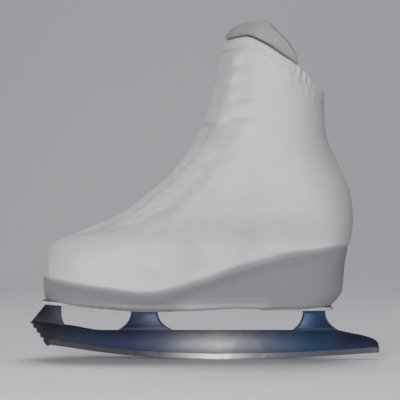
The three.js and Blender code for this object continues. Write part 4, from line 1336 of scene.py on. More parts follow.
@dataclass
class Cover:
    """The stretch cover: two panels sewn along the front and the back, and its hems."""

    form: BootForm
    knit: Material
    hem_knit: Material
    columns: int = 156
    underside_rows: int = 24
    edge_rows: int = 7
    foot_rows: int = 150
    leg_rows: int = 60
    leg_from: float = 132.0
    casing_height: float = 9.0
    casing_lap: float = 1.6
    casing_columns: int = 520
    opening_grow: float = 1.9
    opening_snap: float = 1.1
    hem_grow: float = 2.05
    hem_radius: float = 1.45
    hem_pucker: float = 0.16
    pull: float = 0.013
    narrowest: float = 0.15
    stretch_rounds: int = 900
    thickness: float = 1.0
    cavity_rounds: int = 60
    cavity_depth: float = 0.5
    casing_section: tuple[Span, ...] = (
        (9.0, 0.9), (8.9, 0.3), (8.4, 0.02), (7.7, -0.1), (7.2, 0.14), (6.7, -0.1), (5.2, -0.16),
        (3.4, -0.16), (1.9, -0.16), (1.0, -0.02), (0.35, 0.4), (0.0, 1.0), (0.25, 1.5), (0.9, 1.8),
        (2.0, 1.8), (3.4, 1.5), (5.5, 1.3), (7.5, 1.25), (8.8, 1.2),
    )

    def grid(self, side: Side) -> tuple[Array, Array, Array]:
        """Heights and turns of a panel's points above its underside, and the points of the plain form.

        Rows follow the bottom edge's rounding, then the front outline, then spread up to the casing.

        Args:
            side: Which panel.

        Returns:
            Heights, turns and points, rows by columns.
        """
        turn = side.value * np.linspace(0, np.pi, self.columns + 1)
        angle = np.linspace(0, np.pi / 2, self.edge_rows, endpoint=False)
        edge = self.form.edge_round * (1 - np.cos(angle))
        foot = self.form.front_levels(self.foot_rows, self.leg_from)
        top = self.form.collar_height(turn, self.casing_height - self.casing_lap)
        rise = np.linspace(0, 1, self.leg_rows + 1)[1:, None]
        level = np.concatenate([edge, foot])[:, None] + np.zeros_like(turn)
        height = np.concatenate([level, self.leg_from + (top - self.leg_from) * rise])
        turns = np.broadcast_to(turn, height.shape)
        return height, turns, self.form.point(height, turns)

    def stretched(self, points: Array, floor: Array) -> Array:
        """Depth of a stretched skin over a floor.

        Over and over, each point goes to its neighbours' mean, pulled in, but not below the floor. The
        pull is the skin's tension over the form's curve. The first column mirrors the second.

        Args:
            points: The panel's points, which give the spacing.
            floor: The floor under each point.

        Returns:
            The depth at each point.
        """
        across = np.maximum(np.linalg.norm(np.diff(points, axis=1), axis=-1), self.narrowest)
        up = np.maximum(np.linalg.norm(np.diff(points, axis=0), axis=-1), self.narrowest)
        dx = np.concatenate([across, across[:, -1:]], axis=1)
        dy = np.concatenate([up, up[-1:]], axis=0)
        wide, tall = dy / dx, dx / dy
        load = self.pull * dx * dy
        depth = floor.copy()
        for _ in range(self.stretch_rounds):
            east = np.concatenate([depth[:, 1:], depth[:, -1:]], axis=1)
            west = np.concatenate([depth[:, 1:2], depth[:, :-1]], axis=1)
            north = np.concatenate([depth[1:], depth[-1:]], axis=0)
            south = np.concatenate([depth[:1], depth[:-1]], axis=0)
            moved = (wide * (east + west) + tall * (north + south) - load) / (2 * wide + 2 * tall)
            depth = np.maximum(floor, moved)
        return depth

    def panel(self, side: Side) -> Piece:
        """One side of the cover: the form's points moved along their normals by stretch and folds.

        Args:
            side: Which side.

        Returns:
            The panel.
        """
        lacing, drape = Lacing(self.form, fabric=self.thickness), Drape(self.form)
        height, turn, points = self.grid(side)
        normals = self.form.normal(height, turn)
        depth = self.stretched(points, lacing.floor(height, points, normals))
        depth = depth + drape.relief(height, points) + lacing.studs(height, points)
        moved = points + normals * depth[..., None]
        moved[:, [0, -1], 1] = points[:, [0, -1], 1]
        middle = (points[0] + self.form.point(0.0, -turn[0])) / 2
        share = np.linspace(0, 1, self.underside_rows, endpoint=False)[:, None, None]
        under = middle + (moved[0] - middle) * share
        whole = self.open_under(np.concatenate([under, moved]))
        centre = (whole[:-1, :-1, :2] + whole[1:, 1:, :2]) / 2
        kept = np.ones(centre.shape[:2], bool)
        for plate in (SOLE_PLATE, HEEL_PLATE):
            kept[: self.underside_rows] &= ~plate.inside(centre[: self.underside_rows], self.opening_grow)
        # how far each point lies in a hollow, for the painted crease shade
        cavity = np.concatenate([np.zeros(under.shape[:2]), self.cavities(depth)])
        name = f"cover_{side.name.lower()}"
        turned = side is Side.INNER
        piece = skin(name, whole, flipped=turned, kept=kept, crisp=80, marks=drape.marks(whole, cavity))
        wall = piece.modifiers.new("wall", "SOLIDIFY")
        wall.thickness = self.thickness * MM
        wall.offset = -1.0
        return place(piece, "cover_fabric", self.knit, f"cover_{side.name.lower()}_panel")

    def open_under(self, whole: Array) -> Array:
        """Underside points close to a plate opening's rim, moved on to the rim.

        Args:
            whole: A panel's points, the underside's rows first.

        Returns:
            The points with those moved.
        """
        shifted = whole.copy()
        flat = shifted[: self.underside_rows].reshape(-1, 3)
        for plate in (SOLE_PLATE, HEEL_PLATE):
            rim = plate.rim(self.opening_grow, 700)
            away = np.linalg.norm(flat[:, None, :2] - rim[None], axis=2)
            nearest = away.argmin(axis=1)
            close = away[np.arange(len(flat)), nearest] < self.opening_snap
            flat[close, :2] = rim[nearest[close]]
        shifted[: self.underside_rows] = flat.reshape(self.underside_rows, -1, 3)
        return shifted

    def cavities(self, depth: Array) -> Array:
        """How far the fabric lies under its surroundings, 0 to 1: the smoothed depth less the depth."""
        return np.clip((smoothed(depth, self.cavity_rounds) - depth) / self.cavity_depth, 0, 1)

    def casing(self) -> Piece:
        """The elastic casing round the collar: a flat rolled tube, gathered towards the back.

        Each point of the section lies a way down from the collar's edge and a depth under the form.

        Returns:
            The casing.
        """
        form = self.form
        turn = np.linspace(-np.pi, np.pi, self.casing_columns, endpoint=False)
        section = np.array(self.casing_section)
        down, depth = section[:, :1], section[:, 1:]
        at_collar = form.point(form.collar_height(turn), turn)
        back = smoothstep(190, 214, at_collar[:, 0] - form.toe_x)
        run = travelled(at_collar)
        round_collar = np.stack([run, np.zeros_like(run)], -1)
        pucker = waves(round_collar, 6.5, 21) * (0.12 + 0.5 * back)
        height = form.collar_height(turn) - down
        outer_face = smoothstep(9.2, 7.0, down) * smoothstep(1.2, 0.2, depth)
        shrunk = depth - outer_face * pucker - 0.5 * back * bell(down, 0.9, 1.2) * outer_face
        points = form.point(height, turn) - form.normal(height, turn) * shrunk[..., None]
        points[..., 2] += 0.35 * back * waves(round_collar, 8.0, 22) * (1 - smoothstep(0, 5, down))
        # painted shade on the casing's gathers, stronger towards the back
        marks = {"backing": 0.0, "crease": np.clip(0.5 * back * pucker, 0, 0.5)}
        piece = tube("collar_casing", points, marks)
        return place(piece, "cover_hem", self.hem_knit, "cover_top_hem")

    def opening_hem(self, name: str, plate: PlateOutline, stands_for: str, seed: int) -> Piece:
        """The gathered elastic hem round a plate: a tube along its outline whose radius puckers.

        Args:
            name: The piece's name.
            plate: The plate it goes round.
            stands_for: The node it replaces.
            seed: Which puckers.

        Returns:
            The hem.
        """
        rim = plate.rim(self.hem_grow, 420)
        ahead = unit(np.roll(rim, -1, 0) - np.roll(rim, 1, 0))
        outwards = np.stack([ahead[:, 1], -ahead[:, 0]], 1)
        angle = np.linspace(0, 2 * np.pi, 14, endpoint=False)[:, None]
        run = np.arange(len(rim)) / len(rim) * 2 * np.pi
        pucker = waves(np.stack([np.cos(run), np.sin(run)], -1), 0.09, seed)
        radius = self.hem_radius + self.hem_pucker * pucker * (0.5 + 0.5 * np.cos(angle * 2))
        z = self.form.sole_z + self.form.underside(rim[:, 0] - self.form.toe_x) - 0.1
        points = np.stack([
            rim[:, 0] + outwards[:, 0] * radius * np.cos(angle),
            rim[:, 1] + outwards[:, 1] * radius * np.cos(angle),
            z + radius * np.sin(angle),
        ], axis=-1)
        # painted shade where the hem's puckers draw in
        marks = {"backing": 0.0, "crease": np.clip(-0.6 * pucker, 0, 0.6)}
        piece = tube(name, points, marks)
        return place(piece, "cover_hem", self.hem_knit, stands_for)

    def build(self) -> None:
        casing = self.casing()
        sole_hem = self.opening_hem("sole_opening_hem", SOLE_PLATE, "cover_sole_hem", 31)
        heel_hem = self.opening_hem("heel_opening_hem", HEEL_PLATE, "cover_heel_hem", 32)
        for side in Side:
            panel = self.panel(side)


# ------------------------------------------------------------------ layers inside the cover
def between_depths(
    name: str,
    form: BootForm,
    height: Array,
    turn: Array,
    depths: tuple[Array | float, Array | float],
    radius: float,
    relief: Array | float = 0.0,
    laced: bool = True,
) -> Piece:
    """A closed layer between two depths under the form, rounded off at all its borders.

    Its half thickness falls to 0 at a border as sqrt(1 - (1 - d / radius)^2), d being the distance to it.

    Args:
        name: The piece's name.
        form: The boot's form.
        height: Heights, rows by columns.
        turn: Turns round the boot, rows by columns.
        depths: Depth of the outer and of the inner face.
        radius: How far from a border the rounding reaches.
        relief: Added to the half thickness, for seams and swellings.
        laced: With the laces' room added to the depths.

    Returns:
        The piece.
    """
    outer, inner = (np.broadcast_to(np.asarray(depth, float), height.shape) for depth in depths)
    middle = form.at_depth(height, turn, (outer + inner) / 2, laced)
    along, rise = along_grid(middle)
    border = np.minimum(np.minimum(along, along[:, -1:] - along), np.minimum(rise, rise[-1:] - rise))
    fall = np.sqrt(1 - (1 - np.clip(border / radius, 0, 1)) ** 2)
    half = ((inner - outer) / 2 + relief) * fall
    out = form.normal(height, turn) * half[..., None]
    both = np.concatenate([middle + out, (middle - out)[:, ::-1]], axis=1)
    return skin(name, both, ring_columns=True, solid=True, crisp=75)


@dataclass
class Linings:
    """The tongue with its padding, the boot's lining, the Achilles pad and the topline's binding."""

    form: BootForm
    leather: Material
    microfibre: Material
    lining_depth: Span = (5.3, 7.25)
    tongue_depth: Span = (7.6, 10.0)
    pad_depth: Span = (10.35, 13.35)
    achilles_depth: Span = (7.5, 12.1)
    binding_depth: Span = (1.5, 7.3)
    tongue_from: float = 60.0
    pad_from: float = 70.0
    folded_from: float = 205.0
    pad_top: float = 232.0
    lining_levels: Span = (22.0, 218.0)
    throat_height: Span = (60.0, 66.0)
    facing_gap: float = 13.0
    lining_gap: float = 30.9
    lining_drop: float = 3.0
    board_rise: float = 3.1
    quilting: float = 32.0
    achilles_from: Span = (185.0, 214.0)
    achilles_drop: Span = (2.2, 31.0)
    achilles_hollows: Span = (10.0, 19.5)
    binding_drop: Span = (1.3, 6.6)
    rejoined: Span = (-2.0, 14.0)
    tongue_edge: Curve = Curve((
        (56, 72), (84, 118), (120, 150), (158, 180), (186, 203), (200, 213.5), (208, 212), (214, 208.5),
        (219.5, 204.5), (229.5, 192.5), (234, 187), (FORM_TOP, 180),
    ))
    pad_edge: Curve = Curve((
        (68, 82), (84, 112), (120, 145), (158, 175), (186, 198), (198, 207), (208, 204), (214, 200.5),
        (224, 189.5), (232, 178),
    ))

    def turn_at(self, height: Array, behind: Array) -> Array:
        """The turn at which a level reaches a distance behind the toe."""
        start, end = self.form.front(height), self.form.back(height)
        return np.arccos(np.clip(1 - 2 * (behind - start) / (end - start), -1, 1))

    def turn_beside(self, height: Array, half: Array) -> Array:
        """The first turn at which a level is a half width from the middle, looked up in a fine row.

        Args:
            height: Above the underside, one for each level.
            half: The half width, as many.

        Returns:
            The turn for each level.
        """
        fine = np.linspace(0, np.pi / 2, 500)
        sideways = np.abs(self.form.point(height[:, None], fine)[..., 1] - self.form.y_shift)
        wanted = np.minimum(half, sideways.max(axis=1) * 0.98)
        return fine[np.argmax(sideways >= wanted[:, None], axis=1)]

    def above_collar(self, height: Array, turn: Array) -> tuple[Array, Array]:
        """Height over the collar's edge, and place along the skate, of points on the form."""
        x, _, z = np.moveaxis(self.form.point(height, turn), -1, 0)
        return z - self.form.sole_z - self.form.collar(x - self.form.toe_x), x

    def fan(self, levels: Array, edge: Curve, count: int) -> tuple[Array, Array]:
        """Rows from edge to edge round the front, with more columns near the edges.

        Args:
            levels: Their heights.
            edge: Distance of the edge behind the toe, by height.
            count: Columns.

        Returns:
            Heights and turns, rows by columns.
        """
        share = np.sin(np.linspace(-np.pi / 2, np.pi / 2, count))
        reach = self.turn_at(levels, edge(levels))
        turn = reach[:, None] * (0.35 * np.linspace(-1, 1, count) + 0.65 * share)
        return np.broadcast_to(levels[:, None], turn.shape), turn

    def round_back(self, start: float, drop: Span, count: tuple[int, int]) -> tuple[Array, Array]:
        """A band under the collar's edge, from a turn round the back to the same turn on the other side.

        Args:
            start: The turn.
            drop: How far under the edge the band's top and bottom are.
            count: Rows and columns.

        Returns:
            Heights and turns, rows by columns.
        """
        turn = np.linspace(start, 2 * np.pi - start, count[1])
        top, bottom = (self.form.collar_height(turn, under) for under in drop)
        height = bottom + (top - bottom) * np.linspace(0, 1, count[0])[:, None]
        return height, np.broadcast_to(turn, height.shape)

    def tongue(self) -> Piece:
        """The leather tongue: inside the facings below, swelling out to the cover's surface above.

        Returns:
            The tongue.
        """
        bands = ((self.tongue_from, self.folded_from, 90), (self.folded_from, self.pad_top, 30))
        bands += ((self.pad_top, FORM_TOP, 14),)
        levels = np.concatenate([bands[0][:1]] + [np.linspace(*band)[1:] for band in bands])
        height, turn = self.fan(levels, self.tongue_edge, 110)
        over, x = self.above_collar(height, turn)
        room = self.form.room(self.form.point(height, turn), height, turn)
        set_back = smoothstep(38, 62, x)
        steep = smoothstep(-0.8, 1.4 + 2 * set_back, over)
        slow = smoothstep(1.0, 4 + 9 * set_back, over)
        deep = self.tongue_depth[0] + room
        outer = deep - (deep - 1.2 * set_back) * (0.8 * steep + 0.2 * slow)
        inner = self.tongue_depth[1] + room * (1 - smoothstep(*self.rejoined, over))
        middle = self.form.at_depth(height, turn, outer, laced=False)
        along, rise = along_grid(middle)
        border = np.minimum(np.minimum(along, along[:, -1:] - along), rise[-1:] - rise)
        seam = -0.35 * bell(border, 6.5, 0.55) + 0.25 * bell(border, 3.4, 1.8)
        relief = seam + 0.35 * waves(middle, 30.0, 41)
        piece = between_depths("tongue_leather", self.form, height, turn, (outer, inner), 4.2, relief, False)
        return place(piece, "boot_leather", self.leather, "tongue")

    def tongue_pad(self) -> Piece:
        """The tongue's padded lining, crowned between its bound edges and quilted across.

        Returns:
            The pad.
        """
        bands = ((self.pad_from, self.folded_from, 70), (self.folded_from, self.pad_top, 30))
        levels = np.concatenate([bands[0][:1]] + [np.linspace(*band)[1:] for band in bands])
        height, turn = self.fan(levels, self.pad_edge, 90)
        over, _ = self.above_collar(height, turn)
        points = self.form.point(height, turn)
        room = self.form.room(points, height, turn) * (1 - smoothstep(*self.rejoined, over))
        depths = tuple(depth + room for depth in self.pad_depth)
        stitched = -0.5 * bell((height - self.pad_from) % self.quilting, self.quilting / 2, 1.2)
        quilt = stitched + 0.15 * waves(points, 24.0, 42)
        piece = between_depths("tongue_lining", self.form, height, turn, depths, 4.5, quilt, laced=False)
        return place(piece, "boot_lining", self.microfibre, "tongue_pad")

    def lining(self) -> Piece:
        """The boot's lining, open at the throat, from the insole board to under the binding.

        Returns:
            The lining.
        """
        nominal = np.linspace(*self.lining_levels, 150)
        throat = self.lining_gap * smoothstep(*self.throat_height, nominal)
        start = np.maximum(self.turn_beside(nominal, throat), 0.0)[:, None]
        turn = start + (2 * np.pi - 2 * start) * np.linspace(0, 1, 240)
        top = self.form.collar_height(turn[-1], self.lining_drop)
        u = self.form.behind(nominal[:1], turn[0])
        bottom = self.form.feather(u) + self.board_rise
        height = bottom + (top - bottom) * np.linspace(0, 1, 150)[:, None]
        ripple = 0.12 * waves(self.form.point(height, turn), 26.0, 43)
        piece = between_depths("lining_skin", self.form, height, turn, self.lining_depth, 1.0, ripple)
        return place(piece, "boot_lining", self.microfibre, "lining_vamp", "lining_outer", "lining_inner")

    def achilles_pad(self) -> Piece:
        """The soft pad at the back of the collar: a crowned cushion with two soft hollows.

        Returns:
            The pad.
        """
        reach = float(self.turn_at(*(np.array(value) for value in self.achilles_from)))
        height, turn = self.round_back(reach, self.achilles_drop, (60, 110))
        down = self.form.collar_height(turn[0], self.achilles_drop[0]) - height
        hollow = sum(-0.8 * bell(down, where, 1.4) for where in self.achilles_hollows)
        piece = between_depths("achilles_pad", self.form, height, turn, self.achilles_depth, 9.0, hollow)
        return place(piece, "boot_lining", self.microfibre, "collar_pad")

    def binding(self) -> Piece:
        """The rolled leather binding over the topline, from facing to facing round the back.

        Returns:
            The binding.
        """
        start = float(self.turn_beside(np.array([214.0]), np.array([self.facing_gap]))[0])
        height, turn = self.round_back(start, self.binding_drop, (16, 300))
        piece = between_depths("topline_binding", self.form, height, turn, self.binding_depth, 2.4)
        return place(piece, "boot_leather", self.leather)

    def build(self) -> None:
        """Make all the layers."""
        self.tongue()
        self.tongue_pad()
        self.lining()
        self.achilles_pad()
        self.binding()


# ------------------------------------------------------------------ the blade
@dataclass
class Blade:
    """Runner with toe pick and tail, and the three stanchions that carry the plates."""

    form: BootForm
    chrome: Material
    half: float = 1.95
    inset: float = 0.06
    band: float = 4.5
    bevel: float = 1.2
    lip: float = 0.3
    hollow: float = 0.3
    pick_tip: Span = (-145.45, 30.6)
    pick_shoulder: Span = (-144.25, 31.8)
    pick_back: Span = (-120.55, 28.8)
    drag_pick: Span = (-131.15, 11.0)
    teeth: int = 5
    tooth_depth: float = 1.5
    tooth_lean: float = 0.085
    contact: float = 9.45
    tail: float = 145.45
    tail_from: float = 111.45
    level_top: float = 24.2
    toe_rise: float = 4.6
    toe_rise_span: Span = (16.0, 50.0)
    post_half: float = 2.6
    corner: float = 1.5
    plate_thickness: float = 1.5
    joint: float = 0.3
    bulge: float = 2.6
    # strength of the painted highlight on the stanchions' rounded edges
    painted_rim_highlight: float = 0.9
    middle_top: Span = (73.5, 95.5)
    middle_foot: Span = (62.0, 108.5)
    heel_top: Span = (216.5, 235.0)
    heel_foot: Span = (207.5, 246.5)
    edge_ahead: Curve = Curve(((0, 0), (0.3, 1.2), (0.5, 3.1), (0.7, 6.2), (0.85, 9.4), (1, 12.4)))
    edge_behind: Curve = Curve(((0, 0), (0.4, 0.9), (0.7, 2.9), (1, 5.6)))
    tail_top: Curve = Curve((
        (111.45, 24.2), (119.45, 22.3), (131.45, 19.9), (139.95, 17.2), (144.65, 13.6), (145.45, 7.5),
    ))

    def runner_top(self, x: Array) -> Array:
        """The runner's top edge: level, rising towards the toe pick, falling in a curve to the tail.

        Args:
            x: Places along the skate.

        Returns:
            The height at each place.
        """
        rise = self.toe_rise * (1 - smoothstep(*self.toe_rise_span, x - self.form.toe_x))
        pick = np.interp(x, *zip(self.pick_tip, self.pick_shoulder, self.pick_back))
        top = np.where(x < self.pick_back[0], pick, self.level_top + rise)
        return np.where(x > self.tail_from, self.tail_top(x), top)

    def running_edge(self, x: Array) -> Array:
        """The rocker: heights by the share of the way from the contact to the drag pick or the tail.

        Args:
            x: Places along the skate.

        Returns:
            The height at each place.
        """
        ahead = self.edge_ahead((self.contact - x) / (self.contact - self.drag_pick[0]))
        behind = self.edge_behind((x - self.contact) / (self.tail - self.contact))
        return np.where(x < self.contact, ahead, behind)

    def pick_teeth(self) -> Array:
        """Corners of the toe pick's saw teeth, from the tip to the drag pick: notches set in from a line.

        Returns:
            Their x and z.
        """
        tip, drag = np.array(self.pick_tip), np.array(self.drag_pick)
        way = drag - tip
        inward = np.array([-way[1], way[0]]) / np.linalg.norm(way)
        share = np.arange(1, self.teeth)[:, None] / self.teeth
        notch = tip + way * (share - self.tooth_lean) + inward * self.tooth_depth
        tooth = tip + way * share
        return np.concatenate([tip[None], np.stack([notch, tooth], 1).reshape(-1, 2), drag[None]])

    def runner(self) -> Piece:
        """The runner: a section with a hollow-ground edge and a ground band, carried from tip to tail.

        Returns:
            The runner, with the attribute ground on its band and, at half strength, on its top edge as a
            painted highlight.
        """
        teeth = self.pick_teeth()
        level = np.linspace(self.drag_pick[0] + 3.2, 138.0, 220)
        x = np.concatenate([teeth[:, 0], level, np.linspace(138.6, self.tail, 16)])
        x = np.maximum.accumulate(x + np.arange(len(x)) * 1e-5)
        low = np.concatenate([teeth[:, 1], self.running_edge(x[len(teeth):])])
        high = np.maximum(self.runner_top(x), low + 0.3)
        tall = high - low
        band = np.minimum(self.band, 0.42 * tall)
        bevel = np.minimum(self.bevel, 0.2 * tall)
        lip = np.minimum(self.lip, 0.05 * tall)
        hollow = self.hollow * (x > self.drag_pick[0] + 3)
        w, v = self.half, self.half - self.inset
        right = [
            (0.0, low + hollow), (w * 0.5, low + hollow * 0.72), (w * 0.86, low + lip * 0.05),
            (w, low + lip), (w, low + band), (v, low + band + 0.25 * lip), (v, high - bevel),
            (v * 0.93, high - bevel * 0.55), (v * 0.72, high - bevel * 0.16), (v * 0.45, high),
        ]
        loop = right + [(-y, z) for y, z in right[:0:-1]]
        points = np.stack([np.stack([x, np.full_like(x, y), z], -1) for y, z in loop], axis=1)
        piece = skin("runner", points, ring_columns=True, capped=True, solid=True, crisp=24)
        self.grind(piece, x, low, high, band)
        return place(piece, "blade_chrome", self.chrome, "blade_runner")

    def grind(self, piece: Piece, x: Array, low: Array, high: Array, band: Array) -> None:
        """Mark the ground steel: the band over the running edge and a little on the toe pick; half of it
        along the top edge, as a painted highlight.

        Args:
            piece: The runner.
            x: Places along the skate.
            low: Its lower edge there.
            high: Its upper edge there.
            band: The band's height there.
        """
        spots = np.zeros(len(piece.data.vertices) * 3)
        piece.data.vertices.foreach_get("co", spots)
        at, _, z = spots.reshape(-1, 3).T / MM
        behind_pick = at >= self.drag_pick[0] + 2
        banded = (z - np.interp(at, x, low) <= np.interp(at, x, band) + 0.01) & behind_pick
        # painted highlight along the runner's top edge
        top_glint = np.interp(at, x, high) - z < 0.3
        worn = np.where(behind_pick, 0.0, 0.2)
        carry(piece.data, "ground", np.maximum(banded * 1.0, np.maximum(worn, top_glint * 0.5)))

    def post(self, name: str, fore: Array, aft: Array, stands_for: str) -> Piece:
        """A stanchion: rounded oblong sections between a fore and an aft edge, flared where it is brazed on.

        Args:
            name: The piece's name.
            fore: The fore edge from top to foot, x and z.
            aft: The aft edge, as many points.
            stands_for: The node it replaces.

        Returns:
            The stanchion.
        """
        share = np.linspace(0, 1, len(fore))
        line = aft - fore
        length = np.linalg.norm(line, axis=1)[:, None]
        ahead = line / length
        flare = 0.9 * np.clip(1 - share / 0.16, 0, 1) ** 2
        half = (self.post_half + flare - 0.45 * smoothstep(0.75, 1.0, share))[:, None]
        radius = np.minimum(self.corner, half * 0.8)
        quarter = np.linspace(0, np.pi / 2, 6)
        near, rise = 1 - np.cos(quarter), np.sin(quarter)
        along = np.concatenate([radius * near, length - radius * near[::-1]], axis=1)
        across = half - radius + radius * np.concatenate([rise, rise[::-1]])
        along = np.concatenate([along, along[:, ::-1]], axis=1)
        across = np.concatenate([across, -across[:, ::-1]], axis=1)
        x, z = (fore[:, None, k] + ahead[:, None, k] * along for k in (0, 1))
        turned = np.tile(np.concatenate([rise, rise[::-1]]), 2)
        # painted highlight along the rounded fore and aft edges
        rim = self.painted_rim_highlight * bell(turned, 0.6, 0.16) * smoothstep(0.2, 0.6, share)[:, None]
        marks = {"ground": 0.0, "rim": rim}
        points = np.stack([x, across, z], axis=-1)
        piece = skin(name, points, ring_columns=True, capped=True, solid=True, crisp=32, marks=marks)
        return place(piece, "blade_chrome", self.chrome, stands_for)

    def post_top(self, x: float) -> float:
        """Height of a stanchion's top, just under the plate, at a place along the skate."""
        under = self.form.underside(np.array(x - self.form.toe_x))
        return float(self.form.sole_z + under - self.plate_thickness) - 0.05

    def flared(self, top: Span, foot: Span) -> tuple[Array, Array]:
        """Edges that run down from the plate and sweep out along the runner: x goes as share^bulge.

        Args:
            top: Where the fore and the aft edge start, behind the toe.
            foot: Where they end.

        Returns:
            The fore and the aft edge, x and z.
        """
        share = 1 - (1 - np.linspace(0, 1, 44)) ** 1.35
        flare = 1.2 * np.clip(1 - share / 0.12, 0, 1) ** 2
        edges = []
        for start, end, way in ((top[0], foot[0], -1), (top[1], foot[1], 1)):
            x = self.form.toe_x + start + (end - start) * share**self.bulge + way * flare
            high = self.post_top(self.form.toe_x + start)
            low = self.runner_top(x) - self.joint
            edges.append(np.stack([x, high + (low - high) * share], -1))
        return edges[0], edges[1]

    def toe_edges(self) -> tuple[Array, Array]:
        """The toe stanchion's edges: the fore one straight on to the toe pick, the aft one curved aft.

        Returns:
            The fore and the aft edge, x and z.
        """
        share = np.linspace(0, 1, 40)
        top = self.post_top(-126.0)
        fore = np.stack([-132.15 - 11.9 * share, top + (31.6 - top) * share], -1)
        aft = np.stack([-119.35 + 3.2 * share**4, top + (28.5 - top) * share], -1)
        return fore, aft

    def build(self) -> None:
        """Make the runner and its stanchions."""
        self.runner()
        self.post("toe_post", *self.toe_edges(), "toe_stanchion")
        self.post("middle_post", *self.flared(self.middle_top, self.middle_foot), "middle_stanchion")
        self.post("heel_post", *self.flared(self.heel_top, self.heel_foot), "heel_stanchion")


# ------------------------------------------------------------------ light, floor and camera
@dataclass(frozen=True)
class Lamp:
    """A round soft light that faces the boot: its place in metres, its size and its power in watts.

    It may be left out of mirrored light, or light nothing but glossy surfaces.
    """

    name: str
    at: Triple
    size: float
    power: float
    colour: Colour = (1.0, 1.0, 1.0)
    mirrored: bool = True
    diffuse: bool = True

    def hang(self, aim: Triple) -> None:
        """Put the lamp up, facing a place.

        Args:
            aim: The place.
        """
        light = bpy.data.lights.new(self.name, "AREA")
        light.shape = "DISK"
        light.size, light.energy, light.color = self.size, self.power, self.colour
        lamp = bpy.data.objects.new(self.name, light)
        bpy.context.scene.collection.objects.link(lamp)
        lamp.location = self.at
        lamp.rotation_euler = (Vector(aim) - Vector(self.at)).to_track_quat("-Z", "Y").to_euler()
        lamp.visible_glossy = self.mirrored
        lamp.visible_diffuse = self.diffuse


@dataclass
class Studio:
    """A plain pale floor that curves up behind, soft lights and the camera, in metres."""

    camera_at: Triple = (-0.00375, -1.6, 0.1325)
    lens: float = 172.8
    sensor: float = 36.0
    aim: Triple = (0.0, 0.0, 0.13)
    floor_front: float = -5.0
    floor_half: float = 4.0
    bend_from: float = 1.2
    bend_radius: float = 0.9
    wall_top: float = 5.0
    paper: Colour = (0.8, 0.8, 0.81)
    paper_shade: Colour = (0.78, 0.78, 0.79)
    air: Colour = (0.9, 0.93, 1.0)
    air_strength: float = 0.17
    lamps: tuple[Lamp, ...] = (
        Lamp("key", (-0.2, -1.3, 0.22), 0.5, 9.0, (1.0, 0.99, 0.975), mirrored=False),
        Lamp("side", (-0.9, -1.3, 1.2), 0.7, 3.0),
        Lamp("edge_glint", (0.012, -0.7, 0.01), 0.14, 0.14, diffuse=False),
        Lamp("fill", (1.5, -1.5, 0.7), 1.2, 3.0, (0.93, 0.95, 1.0)),
        Lamp("top", (0.1, 0.5, 1.9), 1.2, 12.0),
    )

    def floor(self) -> None:
        """The floor: level in front, then a quarter circle up to a wall, carried along X."""
        radius, wall = self.bend_radius, self.bend_from + self.bend_radius
        angle = np.linspace(0, np.pi / 2, 24)[1:]
        y = [np.linspace(self.floor_front, self.bend_from, 30), self.bend_from + radius * np.sin(angle)]
        z = [np.zeros(30), radius - radius * np.cos(angle), np.linspace(radius, self.wall_top, 9)[1:]]
        y, z = np.concatenate([*y, np.full(8, wall)]), np.concatenate(z)
        x = np.linspace(-self.floor_half, self.floor_half, 12)
        points = np.stack(np.broadcast_arrays(x, y[:, None], z[:, None]), axis=-1) / MM
        sweep = skin("studio_floor", points, crisp=80)
        n = Nodes("studio_paper")
        tone = n.between(n.noise(n.place(), 1.5), 0.3, 0.7)
        n.shade(Base_Color=n.blend(tone, self.paper, self.paper_shade))
        n.shade(Roughness=0.95, Specular_IOR_Level=0.1)
        sweep.data.materials.append(n.material)

    def camera(self) -> None:
        """The camera, level and looking along +Y."""
        scene = bpy.context.scene
        lens = bpy.data.cameras.new("camera")
        lens.lens, lens.sensor_width = self.lens, self.sensor
        camera = bpy.data.objects.new("camera", lens)
        camera.location = self.camera_at
        camera.rotation_euler = (np.pi / 2, 0.0, 0.0)
        scene.collection.objects.link(camera)
        scene.camera = camera
        scene.view_settings.view_transform = "Standard"

    def build(self) -> None:
        """Put up the camera, the floor, the lights and a faint light from all round."""
        self.camera()
        self.floor()
        for lamp in self.lamps:
            lamp.hang(self.aim)
        world = bpy.data.worlds.new("studio_air")
        world.use_nodes = True
        background = world.node_tree.nodes["Background"]
        background.inputs["Color"].default_value = (*self.air, 1.0)
        background.inputs["Strength"].default_value = self.air_strength
        bpy.context.scene.world = world


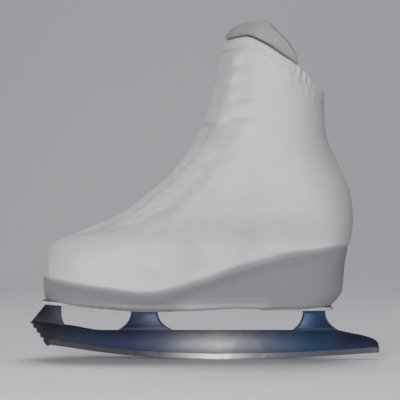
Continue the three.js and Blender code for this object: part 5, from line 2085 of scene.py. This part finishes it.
# ------------------------------------------------------------------ the whole skate
def dress(finish: Material, *names: str) -> None:
    """Give CAD nodes a finish.

    Args:
        finish: The material.
        names: The nodes.
    """
    for name in names:
        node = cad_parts[name]
        if not node.material_slots:
            node.data.materials.append(finish)
        for slot in node.material_slots:
            slot.material = finish
        LOG.info("%s: %s", name, finish.name)


def dress_frame(chrome: Material, leather: Material, knit: Material, lining: Material) -> None:
    """Finish every node of the frame, shown or hidden.

    Args:
        chrome: For the blade and its plates.
        leather: For the boot's upper and tongue.
        knit: For the cover.
        lining: For the lining and padding.
    """
    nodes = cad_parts
    screws = [name for name in nodes if name.startswith(("sole_screw_", "heel_screw_"))]
    hardware = [name for name in nodes if name.startswith(("eyelet_", "hook_"))]
    stanchions = ("toe_stanchion", "middle_stanchion", "heel_stanchion")
    dress(chrome, "sole_plate", "heel_plate", "blade_runner", *stanchions)
    dress(SATIN_STEEL.material(), *screws, "shank")
    dress(BRIGHT_NICKEL.material(), *hardware)
    dress(SOLE_LEATHER.material(), "outsole", "heel_block")
    dress(HEEL_RUBBER.material(), "heel_top_lift")
    dress(FIBRE_BOARD.material(), "insole_board", "toe_puff", "heel_counter")
    dress(FOOTBED_CLOTH.material(), "footbed")
    dress(Braid().material(), "lace", "lace_knot")
    dress(leather, "vamp", "backstay", "quarter_outer", "quarter_inner", "tongue")
    dress(lining, "lining_vamp", "lining_outer", "lining_inner", "tongue_pad", "collar_pad")
    dress(knit, *[name for name in nodes if name.startswith("cover_")])


def main() -> None:
    """Build the studio and the skate, in that order."""
    logging.basicConfig(level=logging.INFO, format="%(name)s %(message)s")
    Studio().build()
    form = centred(BootForm())
    knit = StretchKnit().material()
    hem_knit = StretchKnit("hem_knit", (0.6, 0.6, 0.603), course=0.0014).material()
    leather = WHITE_LEATHER.material()
    microfibre = Microfibre().material()
    chrome = Chrome().material()
    dress_frame(chrome, leather, hem_knit, microfibre)
    Cover(form, knit, hem_knit).build()
    Linings(form, leather, microfibre).build()
    Blade(form, chrome).build()


if __name__ == "__main__":
    main()
